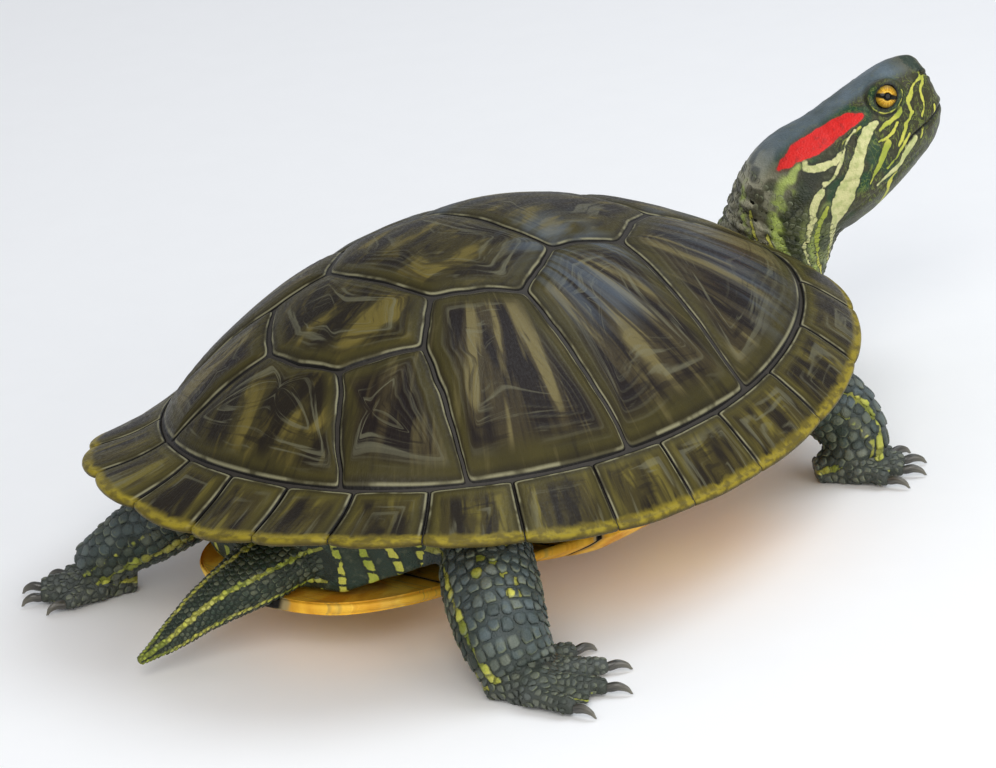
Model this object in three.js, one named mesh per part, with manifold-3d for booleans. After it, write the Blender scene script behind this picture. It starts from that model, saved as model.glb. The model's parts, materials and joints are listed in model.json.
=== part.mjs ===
// A red-eared slider turtle, life size, standing on four feet with its head raised and turned.
//
// Millimetres. +X is the way the shell faces, +Y the turtle's left, +Z up; the soles rest on z = 0.
// The shell is worked out first, with x = 0 and y = 0 at the middle of the carapace, and the limbs,
// neck, head and tail are placed round it. The whole is then shifted so that the origin lies under
// the middle of its bounding box.

import * as THREE from "three";
import { mergeVertices } from "three/addons/utils/BufferGeometryUtils.js";
import Module from "manifold-3d";

const wasm = await Module();
wasm.setup();

// ---- driving dimensions -------------------------------------------------------------------

const GAP = 0.3; // clearance kept between neighbouring solids
const ORIGIN_SHIFT = new THREE.Vector3(-18.65, 6.66, 0); // from the shell's middle

// Carapace: a superellipse in plan with a dome over it
const HALF_LENGTH = 110;
const HALF_WIDTH = 83.4;
const PLAN_POWER = 2.15;
const REAR_WIDENING = 0.02;
const RIM_HEIGHT = 33; // of the lowest part of the rim, at the flanks
const DOME_HEIGHT = 57.2; // above the rim
const DOME_POWER = 2.08;
const DOME_SHARPNESS = 1.027;
const DOME_SHIFT = -7.8; // the top of the dome lies this far behind the middle
const FRONT_LIFT = 12.1; // the rim rises over the neck
const REAR_LIFT = 6.8; // and over the tail
const REAR_FLARE = 7; // the hind marginals turn outwards by this much
const REAR_UPTURN = 1.15; // and upwards by this share of it
const RING_INNER = 0.8687; // the marginals fill the plan from this share of its radius outwards

// Scutes
const SCUTE_THICKNESS = 3.2;
const SCUTE_PILLOW = 0.9; // each scute's middle stands this much above the dome
const SCUTE_EDGE = 0.5; // and its edges lie this much below it
const RIM_THICKNESS = 4;
const SERRATION = 2.2; // of the hind marginals' edges
const SEAM_DEPTH = 0.7;

// Seams across the middle row (x), the row's half widths there, and its widest corners between
const VERTEBRAL_SEAMS = [
  { x: 48.8, halfWidth: 15.2 },
  { x: -0.1, halfWidth: 23.8 },
  { x: -39.9, halfWidth: 18.6 },
  { x: -69.3, halfWidth: 12.6 },
];
const VERTEBRAL_CORNERS = [
  { x: 22.3, y: 28.6 },
  { x: -19.4, y: 32.6 },
  { x: -52.7, y: 27.6 },
];
// Where the costal seams meet the marginal ring, in degrees from straight ahead
const COSTAL_SEAMS = [14, 72.9, 109.4, 141.3, 161.1];
const MARGINAL_SEAMS = [3.5, 14, 28, 45, 64, 84, 102, 118.5, 134, 147.5, 159, 169.5, 180];

// Plastron: a flat superellipse, with a bridge up to the marginals on each side
const PLASTRON_Z = 12.5;
const PLASTRON_THICKNESS = 3.6;
const PLASTRON_HALF_LENGTH = 96;
const PLASTRON_HALF_WIDTH = 44;
const PLASTRON_POWER = 3.1;
const PLASTRON_UPTURN = 2;
const PLASTRON_FLAT = 60; // half the length that lies level
const BRIDGE_FRONT = 43;
const BRIDGE_REAR = -32;
const BRIDGE_RISE = 12;
const BRIDGE_SPREAD = 9; // the flat of the plastron is this much wider between the leg pockets
const PLASTRON_SCUTES = [
  { name: "gular", front: 96, rear: 76 },
  { name: "humeral", front: 76, rear: 49 },
  { name: "pectoral", front: 49, rear: 17 },
  { name: "abdominal", front: 17, rear: -31 },
  { name: "femoral", front: -31, rear: -64 },
  { name: "anal", front: -64, rear: -96 },
];

// Head: its own frame has the origin at the snout's tip, +X forwards, +Y left and +Z up
const HEAD_AT = new THREE.Vector3(161, -27, 82);
const HEAD_YAW = -28;
const HEAD_PITCH = 21;
const HEAD_ROLL = -15;
const HEAD_LENGTH = 44;
const EYE_RADIUS = 4.9;
const EYE_AT = new THREE.Vector3(-16.2, 9.2, 7.7);
const EYE_OPENING = 3.7;
const LID_SIZE = [6.4, 5.3, 5.4]; // half sizes of the swelling round an eye
const MOUTH_Z = -4.2;
const MOUTH_REACH = 17; // the corners of the mouth lie this far behind the snout's tip
const MOUTH_HALF_WIDTH = 12.6;
const MOUTH_OPENING = 0.5;
const NOSTRIL_RADIUS = 0.7;
const NOSTRIL_AT = [0, 1.9, 4.6];

// ---- solids -------------------------------------------------------------------------------

const rad = THREE.MathUtils.degToRad;
const lerp = THREE.MathUtils.lerp;
const smooth = THREE.MathUtils.smoothstep;
const vec = (x, y, z) => new THREE.Vector3(x, y, z);
const signedPower = (value, power) => Math.sign(value) * Math.abs(value) ** power;

// A closed solid from rings of points, each with as many points as the next. The first and the
// last ring are closed by a fan of triangles round the points given, or round the ring's middle.
function ringSolid(rings, firstCap = middle(rings[0]), lastCap = middle(rings.at(-1))) {
  const sides = rings[0].length;
  const points = [...rings.flat(), firstCap, lastCap];
  const faces = ringWalls(rings);
  const first = points.length - 2;
  const last = points.length - 1;
  const lastRing = (rings.length - 1) * sides;
  for (let i = 0; i < sides; i++) {
    const next = (i + 1) % sides;
    faces.push(first, next, i);
    faces.push(last, lastRing + i, lastRing + next);
  }
  return closedSolid(points, faces);
}

// The same from rings that run out along one side of a section and back along its other side.
// Strips from side to side close the ends, so a bent section may be hollow towards its middle.
function foldedSolid(rings) {
  const sides = rings[0].length;
  const faces = ringWalls(rings);
  const lastRing = (rings.length - 1) * sides;
  for (let near = 0; near < sides / 2 - 1; near++) {
    const far = sides - 1 - near;
    faces.push(near + 1, near, far, near + 1, far, far - 1);
    const [out, back] = [lastRing + near, lastRing + far];
    faces.push(out, out + 1, back, out + 1, back - 1, back);
  }
  return closedSolid(rings.flat(), faces);
}

function ringWalls(rings) {
  const sides = rings[0].length;
  const faces = [];
  for (let i = 0; i < sides; i++) {
    const next = (i + 1) % sides;
    for (let row = 0; row < (rings.length - 1) * sides; row += sides) {
      faces.push(row + i, row + next, row + sides + next);
      faces.push(row + i, row + sides + next, row + sides + i);
    }
  }
  return faces;
}

function closedSolid(points, faces) {
  if (signedVolume(points, faces) < 0) faces.reverse();
  return new THREE.BufferGeometry().setFromPoints(points).setIndex(faces);
}

function middle(ring) {
  const sum = ring.reduce((total, point) => total.add(point), vec(0, 0, 0));
  return sum.divideScalar(ring.length);
}

function signedVolume(points, faces) {
  let volume = 0;
  for (let i = 0; i < faces.length; i += 3) {
    const [a, b, c] = [points[faces[i]], points[faces[i + 1]], points[faces[i + 2]]];
    volume += a.dot(b.clone().cross(c)) / 6;
  }
  return volume;
}

function toManifold(geometry) {
  const bare = geometry.clone();
  bare.deleteAttribute("normal");
  bare.deleteAttribute("uv");
  const merged = mergeVertices(bare, 1e-4);
  return new wasm.Manifold(
    new wasm.Mesh({
      numProp: 3,
      vertProperties: new Float32Array(merged.attributes.position.array),
      triVerts: new Uint32Array(merged.index.array),
    }),
  );
}

function toGeometry(solid) {
  const mesh = solid.getMesh();
  const geometry = new THREE.BufferGeometry();
  const position = new Float32Array(mesh.numVert * 3);
  for (let i = 0; i < mesh.numVert; i++) {
    position.set(mesh.vertProperties.subarray(i * mesh.numProp, i * mesh.numProp + 3), i * 3);
  }
  geometry.setAttribute("position", new THREE.BufferAttribute(position, 3));
  geometry.setIndex(new THREE.BufferAttribute(new Uint32Array(mesh.triVerts), 1));
  return geometry;
}

const union = (solids) => solids.reduce((whole, next) => whole.add(next));
const cutAll = (solid, cutters) => cutters.reduce((rest, cutter) => rest.subtract(cutter), solid);

// The largest body of a solid: trimming a limb can leave slivers behind the surface that cut it
function largestBody(solid) {
  const bodies = solid.decompose();
  return bodies.reduce((best, body) => (body.volume() > best.volume() ? body : best));
}

// A smooth body through stations { at, w, h, power }: rounded sections, w wide and h high to
// each side, square to a curve through the stations. `over` is the direction that h follows.
function loft(stations, { sides, steps, over }) {
  const curve = new THREE.CatmullRomCurve3(stations.map((station) => station.at));
  const rings = [];
  for (let step = 0; step <= steps; step++) {
    const t = step / steps;
    const tangent = curve.getTangent(t);
    const side = over.clone().cross(tangent).normalize();
    const up = tangent.clone().cross(side);
    const w = along(stations, "w", t);
    const h = along(stations, "h", t);
    const power = 2 / along(stations, "power", t);
    const centre = curve.getPoint(t);
    const ring = [];
    for (let i = 0; i < sides; i++) {
      const angle = (2 * Math.PI * i) / sides;
      const point = centre.clone();
      point.addScaledVector(side, w * signedPower(Math.cos(angle), power));
      point.addScaledVector(up, h * signedPower(Math.sin(angle), power));
      ring.push(point);
    }
    rings.push(ring);
  }
  return ringSolid(rings);
}

// A station's value at the share t of the way along, through a Catmull-Rom curve
function along(stations, key, t) {
  const value = (i) => stations[THREE.MathUtils.clamp(i, 0, stations.length - 1)][key] ?? 2;
  const place = t * (stations.length - 1);
  const i = Math.min(Math.floor(place), stations.length - 2);
  const f = place - i;
  const [a, b, c, d] = [value(i - 1), value(i), value(i + 1), value(i + 2)];
  const cubic = 2 * b + (c - a) * f + (2 * a - 5 * b + 4 * c - d) * f ** 2;
  return (cubic + (3 * b - a - 3 * c + d) * f ** 3) / 2;
}

const stationsFrom = (rows) =>
  rows.map(([x, y, z, w, h, power]) => ({ at: vec(x, y, z), w, h, power }));

// ---- materials ----------------------------------------------------------------------------

const finish = (color, roughness) =>
  new THREE.MeshStandardMaterial({ color, roughness, metalness: 0 });
const carapaceFinish = finish(0x4a4424, 0.4);
const rimFinish = finish(0x5a5426, 0.45);
const plastronFinish = finish(0xc48a24, 0.5);
const skinFinish = finish(0x3d4a38, 0.7);
const headFinish = finish(0x3f5230, 0.55);
const eyeFinish = finish(0xc9962b, 0.1);
const clawFinish = finish(0x4b4b4a, 0.5);

const turtle = new THREE.Group();
turtle.position.copy(ORIGIN_SHIFT);

function addPart(name, shape, material, group = turtle) {
  const geometry = shape.isBufferGeometry ? shape : toGeometry(shape);
  const mesh = new THREE.Mesh(geometry, material);
  mesh.name = name;
  group.add(mesh);
}

// ---- carapace -----------------------------------------------------------------------------

const rimLift = (angle) =>
  FRONT_LIFT * Math.max(Math.cos(angle), 0) ** 2 + REAR_LIFT * Math.max(-Math.cos(angle), 0) ** 2;

// The plan outline at an angle from straight ahead
function outline(angle) {
  const reach =
    Math.abs(Math.cos(angle) / HALF_LENGTH) ** PLAN_POWER +
    Math.abs(Math.sin(angle) / HALF_WIDTH) ** PLAN_POWER;
  const radius = reach ** (-1 / PLAN_POWER);
  const x = radius * Math.cos(angle);
  const y = radius * Math.sin(angle) * (1 - (REAR_WIDENING * x) / HALF_LENGTH);
  return { x, y };
}

// The dome at an angle and a share of the radius: 0 at the top, 1 at the rim
function domePoint(angle, share) {
  const { x, y } = outline(angle);
  const rise = Math.max(1 - share ** DOME_POWER, 0) ** DOME_SHARPNESS;
  return vec(
    x * share + DOME_SHIFT * (1 - share ** 2),
    y * share,
    RIM_HEIGHT + rimLift(angle) * share ** 2 + DOME_HEIGHT * rise,
  );
}

// The dome's height over a place in plan: the share of the radius is found by halving
function domeHeight(x, y) {
  let low = 1e-4;
  let high = 1.1;
  let angle = 0;
  for (let i = 0; i < 26; i++) {
    const share = (low + high) / 2;
    const u = (x - DOME_SHIFT * (1 - share ** 2)) / (HALF_LENGTH * share);
    const v = y / (HALF_WIDTH * share * (1 - REAR_WIDENING * u));
    const outside = Math.abs(u) ** PLAN_POWER + Math.abs(v) ** PLAN_POWER > 1;
    if (outside) low = share;
    else high = share;
    angle = Math.atan2(v * HALF_WIDTH, u * HALF_LENGTH);
  }
  const share = (low + high) / 2;
  const rise = Math.max(1 - share ** DOME_POWER, 0) ** DOME_SHARPNESS;
  return RIM_HEIGHT + rimLift(angle) * share ** 2 + DOME_HEIGHT * rise;
}

// Points from a to b in plan, b left out, bowed to the left by `bow`
function seamLine(a, b, pieces, bow = 0) {
  const across = new THREE.Vector2(a.y - b.y, b.x - a.x).normalize();
  const points = [];
  for (let i = 0; i < pieces; i++) {
    const t = i / pieces;
    const point = new THREE.Vector2().lerpVectors(a, b, t);
    points.push(point.addScaledVector(across, 4 * bow * t * (1 - t)));
  }
  return points;
}

// Points along the marginal ring's inner edge between two angles in degrees, the last left out
function ringLine(from, to, pieces) {
  const points = [];
  for (let i = 0; i < pieces; i++) {
    const point = domePoint(rad(lerp(from, to, i / pieces)), RING_INNER);
    points.push(new THREE.Vector2(point.x, point.y));
  }
  return points;
}

// Moves each corner of an anticlockwise outline inwards
function inset(points, distance) {
  return points.map((point, i) => {
    const before = point.clone().sub(points.at(i - 1)).normalize();
    const after = points[(i + 1) % points.length].clone().sub(point).normalize();
    const inwards = new THREE.Vector2(-before.y - after.y, before.x + after.x);
    return point.clone().addScaledVector(inwards, distance / (1 + before.dot(after)));
  });
}

const SCUTE_RINGS_TOP = [0.5, 0.9, 1];

// A plate of the dome with a pillowed top, over an outline in plan
function scute(boundary) {
  const edge = inset(boundary, GAP / 2 + 0.05);
  const centre = edge.reduce((sum, point) => sum.add(point), new THREE.Vector2());
  centre.divideScalar(edge.length);
  const ring = (share, lift) =>
    edge.map((point) => {
      const at = centre.clone().lerp(point, share);
      return vec(at.x, at.y, domeHeight(at.x, at.y) + lift);
    });
  const above = (share) => lerp(SCUTE_PILLOW, -SCUTE_EDGE, share ** 5);
  const rings = SCUTE_RINGS_TOP.map((share) => ring(share, above(share)));
  rings.push(ring(1, -SCUTE_THICKNESS));
  const top = domeHeight(centre.x, centre.y);
  return ringSolid(
    rings,
    vec(centre.x, centre.y, top + SCUTE_PILLOW),
    vec(centre.x, centre.y, top - SCUTE_THICKNESS),
  );
}

const mirrored = (points) => points.map(({ x, y }) => new THREE.Vector2(x, -y)).reverse();

// The network of seams is laid out on the left side, and mirrored for the right
const corner = ({ x, y, halfWidth }) => new THREE.Vector2(x, y ?? halfWidth);
const SEAM_PIECES = 3;
const SEAM_BOW = 1.6;

// The left border of the middle row, from its front to its rear
const ringPoint = (degrees) => ringLine(degrees, degrees, 1)[0];
const leftBorder = [
  ringPoint(COSTAL_SEAMS[0]),
  corner(VERTEBRAL_SEAMS[0]),
  corner(VERTEBRAL_CORNERS[0]),
  corner(VERTEBRAL_SEAMS[1]),
  corner(VERTEBRAL_CORNERS[1]),
  corner(VERTEBRAL_SEAMS[2]),
  corner(VERTEBRAL_CORNERS[2]),
  corner(VERTEBRAL_SEAMS[3]),
  ringPoint(COSTAL_SEAMS[4]),
];

// The border's points over a run of its corners, the last left out
function borderLine(first, last) {
  const points = [];
  for (let i = first; i < last; i++) {
    points.push(...seamLine(leftBorder[i], leftBorder[i + 1], SEAM_PIECES));
  }
  return points;
}

function vertebralOutline(index) {
  const first = index === 0 ? 0 : 2 * index - 1;
  const last = index === 4 ? 8 : 2 * index + 1;
  const left = [...borderLine(first, last), leftBorder[last]];
  const right = mirrored(left);
  const crossFront =
    index === 0
      ? ringLine(-COSTAL_SEAMS[0], COSTAL_SEAMS[0], 4).slice(1)
      : seamLine(right.at(-1), left[0], SEAM_PIECES + 1, SEAM_BOW).slice(1);
  const crossRear =
    index === 4
      ? ringLine(COSTAL_SEAMS[4], 360 - COSTAL_SEAMS[4], 4).slice(1)
      : seamLine(left.at(-1), right[0], SEAM_PIECES + 1, -SEAM_BOW).slice(1);
  return [...left, ...crossRear, ...right, ...crossFront];
}

const COSTAL_CORNERS = [0, 2, 4, 6, 7]; // the border's corners where the costal seams end

// Costal i on the left lies between the costal seams i and i + 1
function costalOutline(index) {
  const [first, last] = [COSTAL_CORNERS[index], COSTAL_CORNERS[index + 1]];
  const [frontEnd, rearEnd] = [ringPoint(COSTAL_SEAMS[index]), ringPoint(COSTAL_SEAMS[index + 1])];
  const inner = [...borderLine(first, last), leftBorder[last]];
  const front = seamLine(leftBorder[first], frontEnd, SEAM_PIECES).slice(1);
  const rear = seamLine(rearEnd, leftBorder[last], SEAM_PIECES);
  if (index === 0) {
    const arc = ringLine(COSTAL_SEAMS[0], COSTAL_SEAMS[1], 7).slice(1);
    return [...arc, ...rear, ...inner.reverse()];
  }
  const arc = ringLine(COSTAL_SEAMS[index], COSTAL_SEAMS[index + 1], 5);
  return [...front, ...arc, ...rear, ...inner.reverse()];
}

for (let i = 0; i < 5; i++) {
  addPart(`vertebral_${i + 1}`, scute(vertebralOutline(i)), carapaceFinish);
}
for (let i = 0; i < 4; i++) {
  const left = costalOutline(i);
  addPart(`costal_${i + 1}_left`, scute(left), carapaceFinish);
  addPart(`costal_${i + 1}_right`, scute(mirrored(left)), carapaceFinish);
}

// ---- marginal ring ------------------------------------------------------------------------

const RING_SHARES = [0, 0.5, 1]; // across a marginal, from its inner edge to the rim
const RING_CLEARANCE = 0.0035; // the ring starts this share of the radius outside the scutes
const SECTION_PLACES = [0.04, 0.5, 0.96]; // along a marginal, between two seams
const RIM_EDGE_THICKNESS = 2.4;
const RIM_NOSE = 1.1; // the rounded edge stands this far out
const RIM_PILLOW = 0.6;
const RIM_SINK = -0.1;
const FRONT_SERRATION = 0.5;
const FLARE_POWER = 1.6;
const REAR_MIDDLE_LOSS = 0.55; // share of the flare lost over the tail

// How far the ring turns outwards at an angle in degrees, most at its rear corners
const flare = (degrees) =>
  REAR_FLARE * smooth(degrees, 112, 156) * (1 - REAR_MIDDLE_LOSS * smooth(degrees, 160, 180));

// One section through the ring, closed: over the top from its inner edge to the rim, and back
// below. `place` runs from 0 to 1 between the marginal's seams.
function ringSection(degrees, side, place, { grow = 0, sunk = 0 } = {}) {
  const angle = side * rad(degrees);
  const outwards = vec(Math.cos(angle), Math.sin(angle), 0);
  const serration = lerp(FRONT_SERRATION, SERRATION, smooth(degrees, 100, 150));
  const tooth = serration * Math.sin(Math.PI * place) ** 0.6;
  const top = [];
  const below = [];
  for (const share of RING_SHARES) {
    const radius = lerp(RING_INNER, 1, share) + (share === 0 ? RING_CLEARANCE : 0);
    const point = domePoint(angle, radius);
    point.addScaledVector(outwards, (flare(degrees) + tooth) * share ** FLARE_POWER);
    point.z += REAR_UPTURN * flare(degrees) * share ** FLARE_POWER;
    const pillow = lerp(RIM_PILLOW, RIM_SINK, Math.abs(2 * share - 1) ** 3);
    const thickness = lerp(RIM_THICKNESS, RIM_EDGE_THICKNESS, share ** 3);
    top.push(point.clone().setZ(point.z + pillow - sunk + grow));
    below.unshift(point.clone().setZ(point.z - thickness - grow));
  }
  const nose = top.at(-1).clone().lerp(below[0], 0.5);
  nose.addScaledVector(outwards, RIM_NOSE - sunk + grow);
  below.at(-1).addScaledVector(outwards, -grow);
  top[0].addScaledVector(outwards, -grow);
  return [...top, nose, ...below];
}

// The ring's sections from one seam to another, sunk at each seam between
function ringSections(firstSeam, lastSeam, side, options) {
  const sections = [];
  for (let i = firstSeam; i < lastSeam; i++) {
    const from = MARGINAL_SEAMS[i];
    const to = MARGINAL_SEAMS[i + 1];
    if (i > firstSeam) sections.push(ringSection(from, side, 0, { sunk: SEAM_DEPTH, ...options }));
    for (const place of SECTION_PLACES) {
      sections.push(ringSection(lerp(from, to, place), side, place, options));
    }
  }
  return sections;
}

const LAST_MARGINAL = MARGINAL_SEAMS.length - 1;
const RIM_GROUPS = [
  { name: "front", first: 0, last: 4 },
  { name: "bridge", first: 4, last: 7 },
  { name: "rear", first: 7, last: LAST_MARGINAL },
];

// The plate over the neck, `reach` times as wide to each side as its seams
function nuchal(reach, options) {
  const sections = [-reach, 0, reach].map((place) =>
    ringSection(Math.abs(place) * MARGINAL_SEAMS[0], Math.sign(place), 0.5, options),
  );
  return ringSolid(sections);
}

addPart("nuchal", nuchal(0.93), rimFinish);
for (const [sideName, side] of [["left", 1], ["right", -1]]) {
  for (const { name, first, last } of RIM_GROUPS) {
    addPart(`marginals_${name}_${sideName}`, ringSolid(ringSections(first, last, side)), rimFinish);
  }
}

// The ring a little larger, for trimming what passes under it
const ringCutters = [1, -1].map((side) =>
  toManifold(ringSolid(ringSections(0, LAST_MARGINAL, side, { grow: GAP, sunk: 0 }))),
);
ringCutters.push(toManifold(nuchal(1.2, { grow: GAP })));

// ---- plastron -----------------------------------------------------------------------------

const PLASTRON_TIP = 6; // the least half width, at the lobes' tips
const PLASTRON_EDGE_THICKNESS = 2.2;
const PLASTRON_EDGE_RISE = 2; // the edges stand this much above the middle
const BRIDGE_BLEND = 9; // the bridge rises over this length before and behind its corners
const BRIDGE_REACH = 0.86; // it ends at this share of the carapace's half width
const BRIDGE_LEAN = 1.8;

const plastronHalfWidth = (x) => {
  const share = Math.min(Math.abs(x) / PLASTRON_HALF_LENGTH, 1);
  return PLASTRON_HALF_WIDTH * (1 - share ** PLASTRON_POWER) ** (1 / PLASTRON_POWER);
};

// The bridge's share at x: 1 between the leg pockets, falling to 0 at their corners
const bridgeShare = (x) =>
  smooth(x, BRIDGE_REAR - BRIDGE_BLEND, BRIDGE_REAR + BRIDGE_BLEND) *
  (1 - smooth(x, BRIDGE_FRONT - BRIDGE_BLEND, BRIDGE_FRONT + BRIDGE_BLEND));

// The plastron is flat but for the tips of its two lobes, which turn up a little
const plastronLift = (x) => {
  const beyond = (Math.abs(x) - PLASTRON_FLAT) / (PLASTRON_HALF_LENGTH - PLASTRON_FLAT);
  return PLASTRON_UPTURN * THREE.MathUtils.clamp(beyond, 0, 1);
};

// One section of a plastron scute at x: below from the middle to the edge, and back on top
function plastronSection(x, side, grow = 0) {
  const bridge = bridgeShare(x);
  const edge = Math.max(plastronHalfWidth(x), PLASTRON_TIP) + BRIDGE_SPREAD * bridge;
  const bridgeEnd = BRIDGE_REACH * outline(Math.acos(x / HALF_LENGTH)).y;
  const reach = Math.max(bridgeEnd - edge, 0) * bridge;
  const rows = [
    [GAP / 2 + 0.05, 0],
    [edge * 0.55, 0],
    [edge * 0.92, 0.25 * PLASTRON_EDGE_RISE],
    [edge + reach * 0.4, PLASTRON_EDGE_RISE + BRIDGE_RISE * 0.3 * bridge],
    [edge + reach + grow, PLASTRON_EDGE_RISE + BRIDGE_RISE * bridge],
  ];
  const bottom = PLASTRON_Z + plastronLift(x);
  const edgeThickness = lerp(PLASTRON_EDGE_THICKNESS, PLASTRON_THICKNESS, bridge);
  const below = rows.map(([y, rise]) => vec(x, side * y, bottom + rise - grow));
  const above = rows.map(([y, rise], i) => {
    const isEdge = i > 2;
    const inwards = isEdge ? BRIDGE_LEAN * bridge : 0;
    const thickness = isEdge ? edgeThickness : PLASTRON_THICKNESS;
    return vec(x, side * (y - inwards), bottom + rise + thickness + grow);
  });
  return [...below, ...above.reverse()];
}

const PLASTRON_STEPS = 3;
const PLASTRON_CLEARANCE = 0.9;

function plastronScute({ front, rear }, side, grow = 0) {
  const sections = [];
  for (let i = 0; i <= PLASTRON_STEPS; i++) {
    const x = lerp(front - GAP / 2 + grow, rear + GAP / 2 - grow, i / PLASTRON_STEPS);
    sections.push(plastronSection(x, side, grow));
  }
  return foldedSolid(sections);
}

for (const piece of PLASTRON_SCUTES) {
  addPart(`${piece.name}_left`, plastronScute(piece, 1), plastronFinish);
  addPart(`${piece.name}_right`, plastronScute(piece, -1), plastronFinish);
}

// The plastron a little larger, for trimming what rests above it
const plastronCutters = PLASTRON_SCUTES.flatMap((piece) =>
  [1, -1].map((side) => toManifold(plastronScute(piece, side, PLASTRON_CLEARANCE))),
);

// ---- trunk --------------------------------------------------------------------------------

const TRUNK_SIDES = 24;
const TRUNK_DEPTH = 9; // below the dome
const TRUNK_FLOOR = PLASTRON_Z + PLASTRON_THICKNESS + 1.6;
const POCKET_SLOPE = 0.66; // of the skin from the plastron's edge up to the rim
const POCKET_START = 6; // the slope starts this far inside the plastron's edge

// The body inside the shell: it follows the dome from below, the inner side of the rim and the
// plastron's upper side, and closes the openings at the front and the rear with skin.
function trunk(grow = 0) {
  const below = (share) => (angle) => {
    const point = domePoint(angle, share);
    const floor = TRUNK_FLOOR + plastronLift(point.x) - grow;
    const outside = Math.abs(point.y) - plastronHalfWidth(point.x) + POCKET_START;
    point.z = floor + Math.max(outside, 0) * POCKET_SLOPE;
    return point;
  };
  const above = (share, depth) => (angle) => {
    const point = domePoint(angle, share);
    point.z -= depth - grow;
    return point;
  };
  const wider = grow / HALF_WIDTH;
  const rowsDown = [
    above(0.3, TRUNK_DEPTH),
    above(0.6, TRUNK_DEPTH),
    above(0.8 + wider, TRUNK_DEPTH - 1),
    above(0.84 + wider, TRUNK_DEPTH),
    below(0.8 + wider),
    below(0.5),
    below(0.25),
  ];
  const rings = rowsDown.map((row) => {
    const ring = [];
    for (let i = 0; i < TRUNK_SIDES; i++) ring.push(row((2 * Math.PI * i) / TRUNK_SIDES));
    return ring;
  });
  const apex = above(0, TRUNK_DEPTH)(0);
  const base = vec(DOME_SHIFT, 0, TRUNK_FLOOR - grow);
  return ringSolid(rings, apex, base);
}

const trunkCutter = toManifold(trunk(GAP));
const floorCutter = toManifold(new THREE.BoxGeometry(600, 600, 60).translate(0, 0, -30));
const trimmers = [trunkCutter, ...ringCutters, ...plastronCutters, floorCutter];

addPart("trunk", trunk(), skinFinish);

// ---- legs and feet ------------------------------------------------------------------------

const LEG_SIDES = 8;
const LEG_STEPS = 6;

// Each leg runs through [x, y, z, half width, half depth]; the half width is measured across
// the foot's heading. The foot's pad starts at `heel`, and its toes fan out from the pad's end.
const LEGS = {
  leg_hind_right: {
    rows: [
      [-42, -32, 30, 15, 12],
      [-57, -46, 27, 15.5, 12],
      [-68.5, -58.5, 21, 14.5, 12.5],
      [-75, -68, 13, 12, 11.5],
      [-76, -73, 6, 10, 10],
    ],
    foot: {
      heel: [-80, -68.5],
      heading: -49,
      length: 16.5,
      width: 13.5,
      thickness: 7,
      toes: 4,
      toeLength: 12,
      fan: 62,
      claw: 5.8,
      web: true,
    },
  },
  leg_hind_left: {
    rows: [
      [-48, 32, 30, 14, 11],
      [-66, 42, 27, 13.5, 11],
      [-80, 51, 20.5, 10.5, 9.5],
      [-87, 61, 13.5, 8.2, 7.8],
      [-91, 69, 7, 7.8, 6.2],
    ],
    foot: {
      heel: [-85, 62],
      heading: 137,
      length: 15,
      width: 9,
      thickness: 5.6,
      toes: 4,
      toeLength: 8.6,
      fan: 48,
      claw: 5,
      web: true,
    },
  },
  leg_front_right: {
    rows: [
      [50, -34, 30, 12, 11],
      [64, -45, 28, 11.5, 11],
      [75, -53, 21, 10.2, 10.5],
      [78, -58, 12, 9, 9.5],
      [77, -59, 6, 8.5, 9],
    ],
    foot: {
      heel: [70, -54],
      heading: -38,
      length: 15,
      width: 10,
      thickness: 6.5,
      toes: 5,
      toeLength: 7,
      fan: 74,
      claw: 5.8,
    },
  },
  leg_front_left: {
    rows: [
      [50, 34, 30, 12, 11],
      [66, 46, 28, 12, 11],
      [80, 56, 21, 11, 10.5],
      [86, 61, 12, 9, 9.5],
      [87, 62, 6, 8.5, 9],
    ],
    foot: {
      heel: [80, 57],
      heading: 33,
      length: 15,
      width: 10,
      thickness: 6.5,
      toes: 5,
      toeLength: 7,
      fan: 74,
      claw: 5.8,
    },
  },
};

const TOE_RADIUS = 2.5;
const TOE_Z = 3.4;
const TOE_OVERLAP = 2; // the toes start this far inside the pad's end
const TOE_TIP = 0.4;
const CLAW_Z = 2.4; // height of the claws' roots
const CLAW_RADIUS = 1.45;

// The toes' roots, headings and lengths, spread over the end of the foot's pad
function toePlaces({ heel, heading, length, width, toes, toeLength, fan }) {
  const forward = new THREE.Vector2(Math.cos(rad(heading)), Math.sin(rad(heading)));
  const left = new THREE.Vector2(-forward.y, forward.x);
  const places = [];
  for (let i = 0; i < toes; i++) {
    const share = (2 * i) / (toes - 1) - 1;
    const root = new THREE.Vector2(...heel);
    root.addScaledVector(forward, length * (1 - 0.3 * share ** 2) - TOE_OVERLAP);
    root.addScaledVector(left, share * (width - TOE_RADIUS));
    const turn = rad(heading + (share * fan) / 2);
    const direction = vec(Math.cos(turn), Math.sin(turn), 0);
    const reach = toeLength * (1 - 0.22 * share ** 2) + TOE_OVERLAP;
    places.push({ root: vec(root.x, root.y, TOE_Z), direction, reach });
  }
  return places;
}

function toe({ root, direction, reach }) {
  const at = (distance, z) => root.clone().addScaledVector(direction, distance).setZ(z);
  const stations = [
    { at: at(-3, TOE_Z), w: TOE_RADIUS * 1.12, h: TOE_RADIUS * 1.2 },
    { at: at(reach * 0.5, TOE_Z), w: TOE_RADIUS, h: TOE_RADIUS },
    { at: at(reach, CLAW_Z), w: TOE_RADIUS * 0.86, h: TOE_RADIUS * 0.9 },
    { at: at(reach + TOE_TIP, CLAW_Z), w: TOE_RADIUS * 0.8, h: TOE_RADIUS * 0.8 },
  ];
  return toManifold(loft(stations, { sides: 6, steps: 3, over: vec(0, 0, 1) }));
}

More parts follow.
